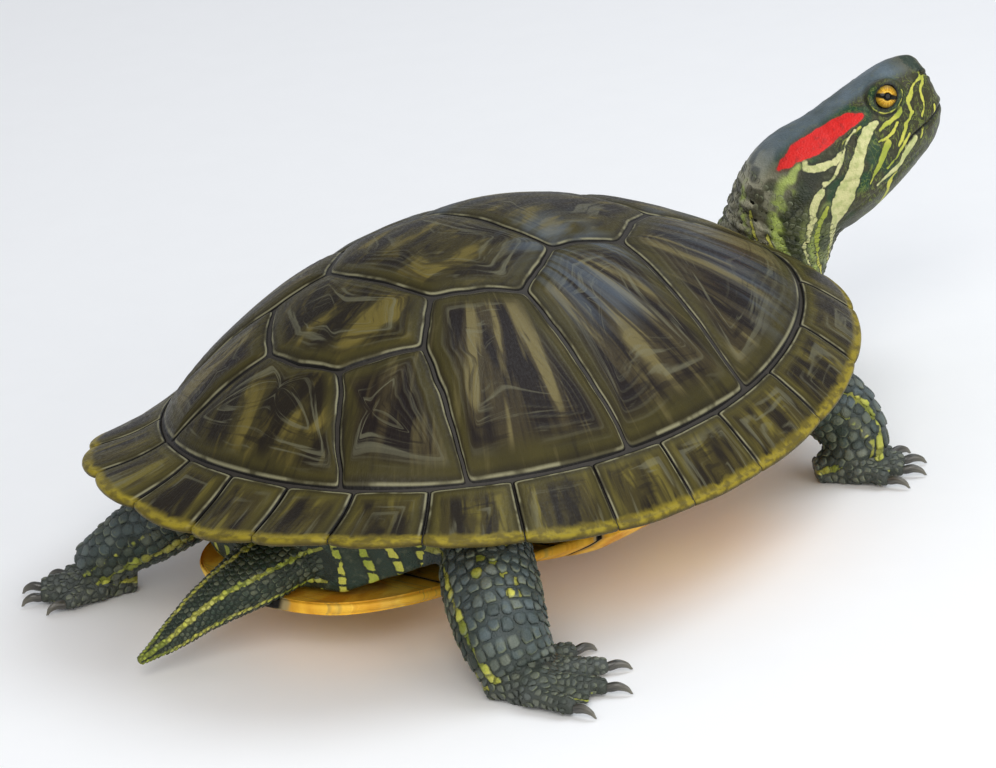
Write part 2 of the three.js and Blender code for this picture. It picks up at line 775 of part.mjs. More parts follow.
// A curved claw ahead of a toe's blunt end
function claw({ root, direction, reach }, length) {
  const start = reach + TOE_TIP + GAP;
  const at = (distance, z) => root.clone().addScaledVector(direction, start + distance).setZ(z);
  const stations = [
    { at: at(0, CLAW_Z), w: CLAW_RADIUS * 0.9, h: CLAW_RADIUS },
    { at: at(length * 0.35, CLAW_Z), w: CLAW_RADIUS * 0.75, h: CLAW_RADIUS * 0.9 },
    { at: at(length * 0.8, 1.7), w: CLAW_RADIUS * 0.4, h: CLAW_RADIUS * 0.5 },
    { at: at(length, 0.6), w: 0.2, h: 0.25 },
  ];
  return loft(stations, { sides: 5, steps: 3, over: vec(0, 0, 1) });
}

// The sole and instep, from the heel to the toes' roots, or to the web's edge between the toes
function pad({ heel, heading, length, width, thickness, web, toeLength }) {
  const forward = vec(Math.cos(rad(heading)), Math.sin(rad(heading)), 0);
  const at = (distance, z) => vec(heel[0], heel[1], z).addScaledVector(forward, distance);
  const stations = [
    { at: at(-3, 3), w: width * 0.42, h: 3.5 },
    { at: at(length * 0.3, 4), w: width * 0.72, h: thickness },
    { at: at(length * 0.75, 3), w: width, h: thickness * 0.7 },
    { at: at(length, 2.6), w: width * 0.98, h: 3 },
  ];
  if (web) {
    stations.push({ at: at(length + toeLength * 0.55, 1.8), w: width * 1.05, h: 1.3 });
  }
  return toManifold(loft(stations, { sides: 8, steps: 5, over: vec(0, 0, 1) }));
}

function leg({ rows, foot }) {
  const forward = vec(Math.cos(rad(foot.heading)), Math.sin(rad(foot.heading)), 0);
  const shape = loft(stationsFrom(rows), { sides: LEG_SIDES, steps: LEG_STEPS, over: forward });
  const toes = toePlaces(foot).map(toe);
  return largestBody(cutAll(union([toManifold(shape), pad(foot), ...toes]), trimmers));
}

for (const [name, data] of Object.entries(LEGS)) {
  addPart(name, leg(data), skinFinish);
  toePlaces(data.foot).forEach((place, i) => {
    addPart(`claw_${name.slice(4)}_${i + 1}`, claw(place, data.foot.claw), clawFinish);
  });
}

// ---- tail ---------------------------------------------------------------------------------

const TAIL = stationsFrom([
  [-66, -3, 29, 16, 8],
  [-83, -4, 28, 15.5, 8],
  [-96, -1, 23, 11, 7.8],
  [-107, 6, 16.5, 6.6, 6],
  [-116, 11, 10.5, 4.2, 3.8],
  [-124.5, 14.8, 6, 1.5, 1.5],
]);

const tail = toManifold(loft(TAIL, { sides: 9, steps: 8, over: vec(0, 0, 1) }));
addPart("tail", largestBody(cutAll(tail, trimmers)), skinFinish);

// ---- head and neck ------------------------------------------------------------------------

const head = new THREE.Group();
head.position.copy(HEAD_AT);
head.rotation.set(rad(HEAD_ROLL), rad(-HEAD_PITCH), rad(HEAD_YAW), "ZYX");
turtle.add(head);
head.updateMatrix();

// The head's profile: distance from the snout's tip, half width, top, bottom, squareness
const HEAD_PROFILE = [
  [0, 3.4, 10.9, -4.2, 2.2],
  [-1.4, 5.4, 12.7, -7.0, 2.3],
  [-4, 7.6, 14.0, -10.2, 2.3],
  [-8, 9.8, 14.7, -12.8, 2.3],
  [-13, 12.2, 14.9, -14.8, 2.3],
  [-19, 14.8, 14.5, -16.8, 2.25],
  [-26, 16.9, 13.7, -18.7, 2.15],
  [-33, 17.2, 13.2, -20.3, 2.1],
  [-39, 16.4, 13.0, -21.0, 2.05],
  [-HEAD_LENGTH, 16, 13.0, -21.0, 2],
];

const HEAD_SIDES = 12;
const HEAD_STEPS = 12;

// The profile's sections stay square to the head, so that its flat rear end meets the neck
function headShape() {
  const stations = HEAD_PROFILE.map(([x, w, top, bottom, power]) => ({
    at: vec(x, 0, (top + bottom) / 2),
    w,
    h: (top - bottom) / 2,
    power,
  }));
  const rings = [];
  for (let step = 0; step <= HEAD_STEPS; step++) {
    const t = step / HEAD_STEPS;
    const place = t * (stations.length - 1);
    const i = Math.min(Math.floor(place), stations.length - 2);
    const x = lerp(stations[i].at.x, stations[i + 1].at.x, place - i);
    const z = lerp(stations[i].at.z, stations[i + 1].at.z, place - i);
    const [w, h] = [along(stations, "w", t), along(stations, "h", t)];
    const power = 2 / along(stations, "power", t);
    const ring = [];
    for (let side = 0; side < HEAD_SIDES; side++) {
      const angle = (2 * Math.PI * side) / HEAD_SIDES;
      const y = w * signedPower(Math.cos(angle), power);
      ring.push(vec(x, y, z + h * signedPower(Math.sin(angle), power)));
    }
    rings.push(ring);
  }
  return toManifold(ringSolid(rings));
}

const eyeAt = (side) => vec(EYE_AT.x, side * EYE_AT.y, EYE_AT.z);
const eyeball = (side, radius) => {
  const at = eyeAt(side);
  return new THREE.SphereGeometry(radius, 10, 6).translate(at.x, at.y, at.z);
};

// The lids: a low swelling round the eye, which the opening is cut through
function lids(side) {
  const swelling = new THREE.SphereGeometry(1, 9, 6).scale(...LID_SIZE);
  const at = eyeAt(side);
  return toManifold(swelling.translate(at.x, at.y, at.z));
}

function lidOpening(side) {
  const opening = new THREE.CylinderGeometry(EYE_OPENING, EYE_OPENING, 12, 10);
  opening.scale(1.08, 1, 0.9);
  const at = eyeAt(side);
  return toManifold(opening.translate(at.x, at.y + side * 6, at.z));
}

// The slit between the beak and the lower jaw, a thin crescent round the front of the head
function mouthSlit() {
  const side = MOUTH_HALF_WIDTH;
  const margin = 4;
  const crescent = new THREE.Shape();
  crescent.moveTo(-MOUTH_REACH, -side - margin);
  crescent.lineTo(margin, -side - margin);
  crescent.lineTo(margin, side + margin);
  crescent.lineTo(-MOUTH_REACH, side + margin);
  crescent.lineTo(-MOUTH_REACH, side);
  crescent.quadraticCurveTo(-4, 0.57 * side, -2, 0);
  crescent.quadraticCurveTo(-4, -0.57 * side, -MOUTH_REACH, -side);
  const slit = new THREE.ExtrudeGeometry(crescent, {
    depth: MOUTH_OPENING,
    bevelEnabled: false,
    curveSegments: 3,
  });
  return toManifold(slit.rotateY(rad(-3)).translate(0, 0, MOUTH_Z));
}

function nostril(side) {
  const [x, y, z] = NOSTRIL_AT;
  const hole = new THREE.CylinderGeometry(NOSTRIL_RADIUS, NOSTRIL_RADIUS, 4, 5);
  return toManifold(hole.rotateZ(rad(90)).translate(x, side * y, z));
}

const headHollows = [1, -1].flatMap((side) => [
  toManifold(eyeball(side, EYE_RADIUS + GAP)),
  lidOpening(side),
  nostril(side),
]);
const headSolid = cutAll(union([headShape(), lids(1), lids(-1)]), [...headHollows, mouthSlit()]);
addPart("head", largestBody(headSolid), headFinish, head);
addPart("eye_left", eyeball(1, EYE_RADIUS), eyeFinish, head);
addPart("eye_right", eyeball(-1, EYE_RADIUS), eyeFinish, head);

// The neck runs from inside the shell to the head's rear, and is trimmed square to the head there
const inHead = (x, y, z) => vec(x, y, z).applyMatrix4(head.matrix);
const NECK = [
  ...stationsFrom([
    [72, 0, 30, 16, 10.5],
    [93, 0, 29.5, 15.5, 10.5],
    [108, 0.5, 32, 18, 12.5],
    [116.3, 0.4, 42, 20, 14],
  ]),
  { at: inHead(-HEAD_LENGTH - 4, 0, -3.9), w: 16.6, h: 17.2 },
  { at: inHead(-HEAD_LENGTH + 8, 0, -3.4), w: 16, h: 17 },
];

function neck() {
  const block = new THREE.BoxGeometry(60, 80, 80).translate(-HEAD_LENGTH - GAP + 30, 0, 0);
  const headCutter = toManifold(block.applyMatrix4(head.matrix));
  const shape = toManifold(loft(NECK, { sides: 12, steps: 9, over: vec(-0.6, 0, 1) }));
  return largestBody(cutAll(shape, [...trimmers, headCutter]));
}

addPart("neck", neck(), headFinish);

export default turtle;
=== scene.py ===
"""The looks of a red-eared slider turtle: horn scutes, scaled skin, eyes and claws on its frame.

Lengths are millimetres in the shell's own frame, whose origin is the middle of the carapace, until
to_frame() turns them into metres in the frame of the CAD model.
"""

import json
import math

import bmesh
import bpy
import numpy as np
from mathutils import Matrix, Vector
from mathutils.bvhtree import BVHTree
from mathutils.kdtree import KDTree

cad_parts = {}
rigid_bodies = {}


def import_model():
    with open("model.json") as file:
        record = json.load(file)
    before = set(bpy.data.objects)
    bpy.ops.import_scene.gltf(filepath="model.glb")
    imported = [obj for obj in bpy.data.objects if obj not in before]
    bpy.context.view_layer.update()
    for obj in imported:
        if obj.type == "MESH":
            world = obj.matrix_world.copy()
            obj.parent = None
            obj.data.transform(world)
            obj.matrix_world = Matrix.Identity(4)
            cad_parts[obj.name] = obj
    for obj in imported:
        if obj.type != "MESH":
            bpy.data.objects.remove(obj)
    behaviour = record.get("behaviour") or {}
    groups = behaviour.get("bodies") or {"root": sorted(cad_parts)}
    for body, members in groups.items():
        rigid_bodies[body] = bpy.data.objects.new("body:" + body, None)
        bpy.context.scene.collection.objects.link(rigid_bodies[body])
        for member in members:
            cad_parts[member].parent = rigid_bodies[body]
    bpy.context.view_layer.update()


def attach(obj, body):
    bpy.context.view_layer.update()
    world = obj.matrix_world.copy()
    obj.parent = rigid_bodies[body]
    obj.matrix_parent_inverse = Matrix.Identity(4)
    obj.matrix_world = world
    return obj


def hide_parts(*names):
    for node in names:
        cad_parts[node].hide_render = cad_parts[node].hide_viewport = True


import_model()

# ---- driving dimensions, the same as the solids' ---------------------------------------------

ORIGIN_SHIFT = np.array([-18.65, 6.66, 0.0])

HALF_LENGTH = 110
HALF_WIDTH = 83.4
PLAN_POWER = 2.15
REAR_WIDENING = 0.02
RIM_HEIGHT = 33
DOME_HEIGHT = 57.2
DOME_POWER = 2.08
DOME_SHARPNESS = 1.027
DOME_SHIFT = -7.8
FRONT_LIFT = 12.1
REAR_LIFT = 6.8
REAR_FLARE = 7
REAR_UPTURN = 1.15
REAR_MIDDLE_LOSS = 0.55
FLARE_POWER = 1.6
RING_INNER = 0.8687

SCUTE_THICKNESS = 3.2
SCUTE_PILLOW = 0.9
SCUTE_EDGE = 0.5
RIM_THICKNESS = 4
RIM_EDGE_THICKNESS = 2.4
RIM_NOSE = 1.1
SERRATION = 2.2
FRONT_SERRATION = 0.5

VERTEBRAL_SEAMS = [(48.8, 15.2), (-0.1, 23.8), (-39.9, 18.6), (-69.3, 12.6)]
VERTEBRAL_CORNERS = [(22.3, 28.6), (-19.4, 32.6), (-52.7, 27.6)]
COSTAL_SEAMS = [14, 72.9, 109.4, 141.3, 161.1]
COSTAL_CORNERS = [0, 2, 4, 6, 7]
MARGINAL_SEAMS = [3.5, 14, 28, 45, 64, 84, 102, 118.5, 134, 147.5, 159, 169.5, 180]
RIM_GROUPS = [("front", 0, 4), ("bridge", 4, 7), ("rear", 7, 12)]

PLASTRON_Z = 12.5
PLASTRON_THICKNESS = 3.6
PLASTRON_EDGE_THICKNESS = 2.2
PLASTRON_EDGE_RISE = 2
PLASTRON_HALF_LENGTH = 96
PLASTRON_HALF_WIDTH = 44
PLASTRON_POWER = 3.1
PLASTRON_UPTURN = 2
PLASTRON_FLAT = 60
PLASTRON_TIP = 6
BRIDGE_FRONT = 43
BRIDGE_REAR = -32
BRIDGE_BLEND = 9
BRIDGE_RISE = 12
BRIDGE_SPREAD = 9
BRIDGE_REACH = 0.86
BRIDGE_LEAN = 1.8
PLASTRON_SCUTES = [
    ("gular", 96, 76),
    ("humeral", 76, 49),
    ("pectoral", 49, 17),
    ("abdominal", 17, -31),
    ("femoral", -31, -64),
    ("anal", -64, -96),
]

TRUNK_DEPTH = 9
TRUNK_FLOOR = PLASTRON_Z + PLASTRON_THICKNESS + 1.6
POCKET_SLOPE = 0.66
POCKET_START = 6

HEAD_AT = (161, -27, 82)  # the snout's tip, the origin of the head's own frame
HEAD_YAW = -28
HEAD_PITCH = 21
HEAD_ROLL = -15
HEAD_LENGTH = 44
EYE_RADIUS = 4.9
EYE_AT = np.array([-16.2, 9.2, 7.7])
LID_SIZE = (6.4, 5.3, 5.4)
MOUTH_Z = -4.2

SEAM_GAP = 0.28  # half the width of the groove between two scutes
SIDES = (("left", 1), ("right", -1))

# ---- numbers, noise and shapes ---------------------------------------------------------------


def to_frame(points):
    """Millimetres in the shell's frame to metres in the CAD frame."""
    return (np.asarray(points, float) + ORIGIN_SHIFT) / 1000


def smooth(value, low, high):
    share = np.clip((np.asarray(value, float) - low) / (high - low), 0, 1)
    return share * share * (3 - 2 * share)


def lerp(a, b, share):
    return a + (b - a) * share


def unit(vectors):
    return vectors / np.maximum(np.linalg.norm(vectors, axis=-1, keepdims=True), 1e-9)


def bell(value, width):
    return np.exp(-((value / width) ** 2))


def circle(count):
    """That many angles evenly round a full turn."""
    return 2 * np.pi * np.arange(count) / count


def crowded(count, evenness):
    """That many places from 0 to 1, closer together towards both ends."""
    waved = 0.5 - np.cos(np.linspace(0, np.pi, count)) / 2
    return lerp(waved, np.linspace(0, 1, count), evenness)


def path_length(points):
    """The distance from the first point to each, along the path through all of them."""
    steps = np.linalg.norm(np.diff(points, axis=0), axis=1)
    return np.concatenate([[0], np.cumsum(steps)])


def columns(*values):
    """The values side by side in the last axis, each spread to the common shape."""
    return np.stack(np.broadcast_arrays(*values), -1)


def noise(points, size, seed=0):
    """Smooth noise from -1 to 1 at 3-D points, with cells of that size."""
    place = np.asarray(points, float) / size
    cell = np.floor(place).astype(np.int64)
    inside = place - cell
    inside = inside * inside * (3 - 2 * inside)
    total = np.zeros(place.shape[:-1])
    for corner in np.ndindex(2, 2, 2):
        at = cell + corner
        mixed = (at[..., 0] * 73856093) ^ (at[..., 1] * 19349663) ^ (at[..., 2] * 83492791)
        mixed = (mixed ^ (seed * 40503)) * 1274126177
        mixed = (mixed ^ (mixed >> 15)) * 668265263
        value = ((mixed ^ (mixed >> 13)) & 0xFFFF) / 32767.5 - 1
        weight = np.where(np.array(corner, bool), inside, 1 - inside).prod(-1)
        total += weight * value
    return total


def centripetal(points, t):
    """Points at the shares t along a centripetal Catmull-Rom curve, as three.js draws it."""
    points = np.asarray(points, float)
    ends = np.vstack([2 * points[0] - points[1], points, 2 * points[-1] - points[-2]])
    place = np.asarray(t, float) * (len(points) - 1)
    index = np.minimum(place.astype(int), len(points) - 2)
    share = (place - index)[:, None]
    p0, p1, p2, p3 = (ends[index + i] for i in range(4))
    d0, d1, d2 = (
        np.maximum(np.linalg.norm(b - a, axis=1, keepdims=True), 1e-4) ** 0.5
        for a, b in ((p0, p1), (p1, p2), (p2, p3))
    )
    out1 = ((p1 - p0) / d0 - (p2 - p0) / (d0 + d1) + (p2 - p1) / d1) * d1
    out2 = ((p2 - p1) / d1 - (p3 - p1) / (d1 + d2) + (p3 - p2) / d2) * d1
    cubic = (2 * p1 - 2 * p2 + out1 + out2) * share**3
    return p1 + out1 * share + (3 * (p2 - p1) - 2 * out1 - out2) * share**2 + cubic


def along(values, t):
    """Values at the shares t through a uniform Catmull-Rom curve."""
    values = np.asarray(values, float)
    place = np.asarray(t, float) * (len(values) - 1)
    index = np.minimum(place.astype(int), len(values) - 2)
    f = place - index
    a, b, c, d = (values[np.clip(index + i, 0, len(values) - 1)] for i in (-1, 0, 1, 2))
    square, cube = (2 * a - 5 * b + 4 * c - d) * f**2, (3 * b - a - 3 * c + d) * f**3
    return (2 * b + (c - a) * f + square + cube) / 2


def folded_solid(rings):
    """A closed solid through rings that run out on one side and back on the other."""
    points, faces = ring_solid(rings)
    count, sides = np.shape(rings)[:2]
    faces = faces[: (count - 1) * sides]
    last = (count - 1) * sides
    for near in range(sides // 2):
        far = sides - 1 - near
        if far - near < 2:
            break
        faces.append([near + 1, near, far, far - 1] if far - near > 2 else [near + 1, near, far])
        end = [near, near + 1, far - 1, far] if far - near > 2 else [near, near + 1, far]
        faces.append([last + corner for corner in end])
    return points[:-2], faces


def ring_solid(rings, first_cap=None, last_cap=None):
    """Points and faces of a closed solid through rings of equal length, (rings, sides, 3)."""
    rings = np.asarray(rings, float)
    count, sides = rings.shape[:2]
    first_cap = rings[0].mean(0) if first_cap is None else first_cap
    last_cap = rings[-1].mean(0) if last_cap is None else last_cap
    points = np.vstack([rings.reshape(-1, 3), [first_cap, last_cap]])
    i = np.arange(sides)
    following = (i + 1) % sides
    row = (np.arange(count - 1) * sides)[:, None]
    quads = np.stack([row + i, row + following, row + sides + following, row + sides + i], -1)
    faces = quads.reshape(-1, 4).tolist()
    first, last, start = len(points) - 2, len(points) - 1, (count - 1) * sides
    faces += [[first, int(b), int(a)] for a, b in zip(i, following)]
    faces += [[last, int(start + a), int(start + b)] for a, b in zip(i, following)]
    return points, faces


def merged(shapes):
    """One (points, faces) from several."""
    points, faces, start = [], [], 0
    for shape_points, shape_faces in shapes:
        points.append(shape_points)
        faces += [[corner + start for corner in face] for face in shape_faces]
        start += len(shape_points)
    return np.vstack(points), faces


def new_object(name, points, faces, attributes=None):
    """A smooth-shaded object from points in millimetres, turned to face outwards."""
    mesh = bpy.data.meshes.new(name)
    mesh.from_pydata(to_frame(points).tolist(), [], faces)
    mesh.polygons.foreach_set("use_smooth", [True] * len(mesh.polygons))
    if signed_volume(mesh) < 0:
        mesh.flip_normals()
    for key, values in (attributes or {}).items():
        set_attribute(mesh, key, values)
    piece = bpy.data.objects.new(name, mesh)
    bpy.context.scene.collection.objects.link(piece)
    return piece


def set_attribute(mesh, key, values):
    values = np.asarray(values, np.float32)
    kind, field = ("FLOAT", "value") if values.ndim == 1 else ("FLOAT_VECTOR", "vector")
    attribute = mesh.attributes.get(key) or mesh.attributes.new(key, kind, "POINT")
    attribute.data.foreach_set(field, values.ravel())


def read_array(items, key, width, kind):
    """One property of a mesh's items, as an array that many values wide."""
    values = np.empty(len(items) * width, kind)
    items.foreach_get(key, values)
    return values.reshape(-1, width)


def vertex_array(mesh):
    return read_array(mesh.vertices, "co", 3, np.float32).astype(float)


def triangle_array(mesh):
    mesh.calc_loop_triangles()
    return read_array(mesh.loop_triangles, "vertices", 3, np.int32)


def signed_volume(mesh):
    triangles = triangle_array(mesh)
    a, b, c = vertex_array(mesh)[triangles].transpose(1, 0, 2)
    return float((a * np.cross(b, c)).sum() / 6)


def place(piece, material, slot, *nodes):
    """Gives the piece its material, and lets it ride and stand for the CAD nodes; the slot is not
    used.
    """
    piece.data.materials.append(material)
    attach(piece, "root")
    if nodes:
        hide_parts(*nodes)
    return piece


# ---- the shell's surface ---------------------------------------------------------------------


def rim_lift(angle):
    forward = np.cos(angle)
    return FRONT_LIFT * np.maximum(forward, 0) ** 2 + REAR_LIFT * np.maximum(-forward, 0) ** 2


def outline(angle):
    reach = np.abs(np.cos(angle) / HALF_LENGTH) ** PLAN_POWER
    reach = reach + np.abs(np.sin(angle) / HALF_WIDTH) ** PLAN_POWER
    radius = reach ** (-1 / PLAN_POWER)
    x = radius * np.cos(angle)
    return x, radius * np.sin(angle) * (1 - REAR_WIDENING * x / HALF_LENGTH)


def dome_point(angle, share):
    x, y = outline(angle)
    rise = np.maximum(1 - share**DOME_POWER, 0) ** DOME_SHARPNESS
    height = RIM_HEIGHT + rim_lift(angle) * share**2 + DOME_HEIGHT * rise
    return columns(x * share + DOME_SHIFT * (1 - share**2), y * share, height)


def dome_place(x, y):
    """The angle and the share of the radius at which (x, y) lies on the dome, by halving."""
    low, high = np.full(x.shape, 1e-4), np.full(x.shape, 1.25)
    for _ in range(24):
        share = (low + high) / 2
        u = (x - DOME_SHIFT * (1 - share**2)) / (HALF_LENGTH * share)
        v = y / (HALF_WIDTH * share * (1 - REAR_WIDENING * u))
        outside = np.abs(u) ** PLAN_POWER + np.abs(v) ** PLAN_POWER > 1
        low, high = np.where(outside, share, low), np.where(outside, high, share)
    return np.arctan2(v * HALF_WIDTH, u * HALF_LENGTH), share


def dome_height(x, y):
    angle, share = dome_place(x, y)
    return dome_point(angle, share)[..., 2]


# ---- the network of seams --------------------------------------------------------------------

LINE_PIECES = 12
CORNER_ROUNDS = 4


def line(a, b, bow=0):
    """Points from a to b, b left out, bowed to the left."""
    t = np.arange(LINE_PIECES)[:, None] / LINE_PIECES
    a, b = np.asarray(a, float), np.asarray(b, float)
    across = unit(np.array([a[1] - b[1], b[0] - a[0]]))
    return a + (b - a) * t + 4 * bow * t * (1 - t) * across


def ring_line(start, end, pieces=24):
    angle = np.radians(start + (end - start) * np.arange(pieces) / pieces)
    return dome_point(angle, RING_INNER)[:, :2]


def ring_corner(degrees):
    return ring_line(degrees, degrees, 1)[0]


LEFT_BORDER = [
    ring_corner(COSTAL_SEAMS[0]),
    *[np.array(pair) for both in zip(VERTEBRAL_SEAMS, VERTEBRAL_CORNERS) for pair in both],
    np.array(VERTEBRAL_SEAMS[3]),
    ring_corner(COSTAL_SEAMS[4]),
]
MIRROR = np.array([1, -1])
SEAM_BOW = 1.6
SEAM_WANDER = 0.55


def border_line(first, last):
    return np.vstack([line(LEFT_BORDER[i], LEFT_BORDER[i + 1]) for i in range(first, last)])


def vertebral_outline(index):
    first = 0 if index == 0 else 2 * index - 1
    last = 8 if index == 4 else 2 * index + 1
    left = np.vstack([border_line(first, last), LEFT_BORDER[last]])
    right = left[::-1] * MIRROR
    front = line(right[-1], left[0], bow=SEAM_BOW)[1:]
    rear = line(left[-1], right[0], bow=-SEAM_BOW)[1:]
    if index == 0:
        front = ring_line(-COSTAL_SEAMS[0], COSTAL_SEAMS[0])[1:]
    if index == 4:
        rear = ring_line(COSTAL_SEAMS[4], 360 - COSTAL_SEAMS[4])[1:]
    return np.vstack([left, rear, right, front])


def costal_outline(index):
    first, last = COSTAL_CORNERS[index], COSTAL_CORNERS[index + 1]
    inner = np.vstack([border_line(first, last), LEFT_BORDER[last]])
    start, end = COSTAL_SEAMS[index], COSTAL_SEAMS[index + 1]
    rear = line(ring_corner(end), LEFT_BORDER[last])
    if index == 0:
        return np.vstack([ring_line(start, end, 60)[1:], rear, inner[::-1]])
    front = line(LEFT_BORDER[first], ring_corner(start))[1:]
    return np.vstack([front, ring_line(start, end, 40), rear, inner[::-1]])


def even_loop(points, count):
    """The closed outline as that many evenly spaced points, its corners a little rounded."""
    closed = np.vstack([points, points[:1]])
    length = path_length(closed)
    at = np.arange(count) * length[-1] / count
    loop = np.stack([np.interp(at, length, closed[:, k]) for k in (0, 1)], 1)
    for _ in range(CORNER_ROUNDS):
        loop = loop / 2 + (np.roll(loop, 1, 0) + np.roll(loop, -1, 0)) / 4
    return loop


def wander(loop):
    """The seams wander a little, the same way for the scutes on both sides of them."""
    flat = columns(*loop.T, 0)
    shift = columns(noise(flat, 9, 3), noise(flat, 9, 4))
    shift += 0.4 * columns(noise(flat, 3.5, 5), noise(flat, 3.5, 6))
    _, share = dome_place(*loop.T)
    return loop + SEAM_WANDER * shift * (1 - smooth(share, 0.82, 0.86))[:, None]


def inset(loop, distance):
    tangent = unit(np.roll(loop, -1, 0) - np.roll(loop, 1, 0))
    inwards = np.stack([-tangent[:, 1], tangent[:, 0]], 1)
    area = (loop[:, 0] * np.roll(loop[:, 1], -1) - np.roll(loop[:, 0], -1) * loop[:, 1]).sum()
    return loop + np.sign(area) * distance * inwards


# ---- materials -------------------------------------------------------------------------------


class Shader:
    """A material's node tree, with one short method for each kind of node that it needs."""

    def __init__(self, name):
        self.material = bpy.data.materials.new(name)
        self.material.use_nodes = True
        self.tree = self.material.node_tree
        self.surface = self.tree.nodes["Principled BSDF"]

    def node(self, kind, inputs=None, **settings):
        made = self.tree.nodes.new(kind)
        for key, value in settings.items():
            setattr(made, key, value)
        for key, value in (inputs or {}).items():
            self.feed(made.inputs[key], value)
        return made

    def feed(self, socket, value):
        if isinstance(value, bpy.types.NodeSocket):
            self.tree.links.new(value, socket)
        else:
            socket.default_value = value

    def set(self, **values):
        for key, value in values.items():
            self.feed(self.surface.inputs[key.replace("_", " ")], value)

    def attribute(self, name, output="Fac"):
        return self.node("ShaderNodeAttribute", attribute_name=name).outputs[output]

    def position(self):
        return self.node("ShaderNodeTexCoord").outputs["Object"]

    def stretched(self, vector, scale):
        mapping = self.node("ShaderNodeMapping", {"Vector": vector, "Scale": scale})
        return mapping.outputs["Vector"]

    def noise(self, vector, scale, detail, distortion=0.0):
        inputs = {"Vector": vector, "Scale": scale, "Detail": detail, "Distortion": distortion}
        return self.node("ShaderNodeTexNoise", inputs).outputs["Fac"]

    def cells(self, vector, scale):
        inputs = {"Vector": vector, "Scale": scale}
        made = self.node("ShaderNodeTexVoronoi", inputs, feature="DISTANCE_TO_EDGE")
        return made.outputs["Distance"]

    def math(self, operation, a, b=0.0):
        made = self.node("ShaderNodeMath", operation=operation)
        self.feed(made.inputs[0], a)
        self.feed(made.inputs[1], b)
        return made.outputs[0]

    def product(self, a, b):
        return self.math("MULTIPLY", a, b)

    def off(self, value, middle):
        """How far the value is from the middle."""
        return self.math("ABSOLUTE", self.math("SUBTRACT", value, middle))

    def step(self, value, low, high, start=0.0, end=1.0):
        """A smooth step from start to end as the value goes from low to high."""
        inputs = {"Value": value, "From Min": low, "From Max": high, "To Min": start, "To Max": end}
        made = self.node("ShaderNodeMapRange", inputs, interpolation_type="SMOOTHSTEP")
        return made.outputs["Result"]

    def mix(self, share, a, b):
        made = self.node("ShaderNodeMix", data_type="RGBA")
        for socket, value in (("Factor", share), (6, a), (7, b)):
            self.feed(made.inputs[socket], value)
        return made.outputs[2]

    def layered(self, colour, *layers):
        """The colour with others laid over it, each a share and a colour."""
        for share, over in layers:
            colour = self.mix(share, colour, over)
        return colour

    def bump(self, height, distance, strength=1.0, normal=None):
        inputs = {"Height": height, "Distance": distance, "Strength": strength}
        if normal is not None:
            inputs["Normal"] = normal
        return self.node("ShaderNodeBump", inputs).outputs["Normal"]


def srgb(red, green, blue):
    """A linear colour from 0..255 display values."""
    linear = []
    for value in (red, green, blue):
        share = value / 255
        linear.append(share / 12.92 if share <= 0.04045 else ((share + 0.055) / 1.055) ** 2.4)
    return (*linear, 1.0)


def shade(colour, share):
    return (*[value * share for value in colour[:3]], 1.0)


# painted shade: the black of the grooves between the horn plates
SEAM_SHADE = srgb(12, 9, 5)
WORN_LINE = srgb(140, 136, 106)
RING_LIGHT = srgb(108, 106, 84)
# painted reflection of the sky on the horn
SKY_REFLECTION_BLUE = srgb(92, 103, 114)


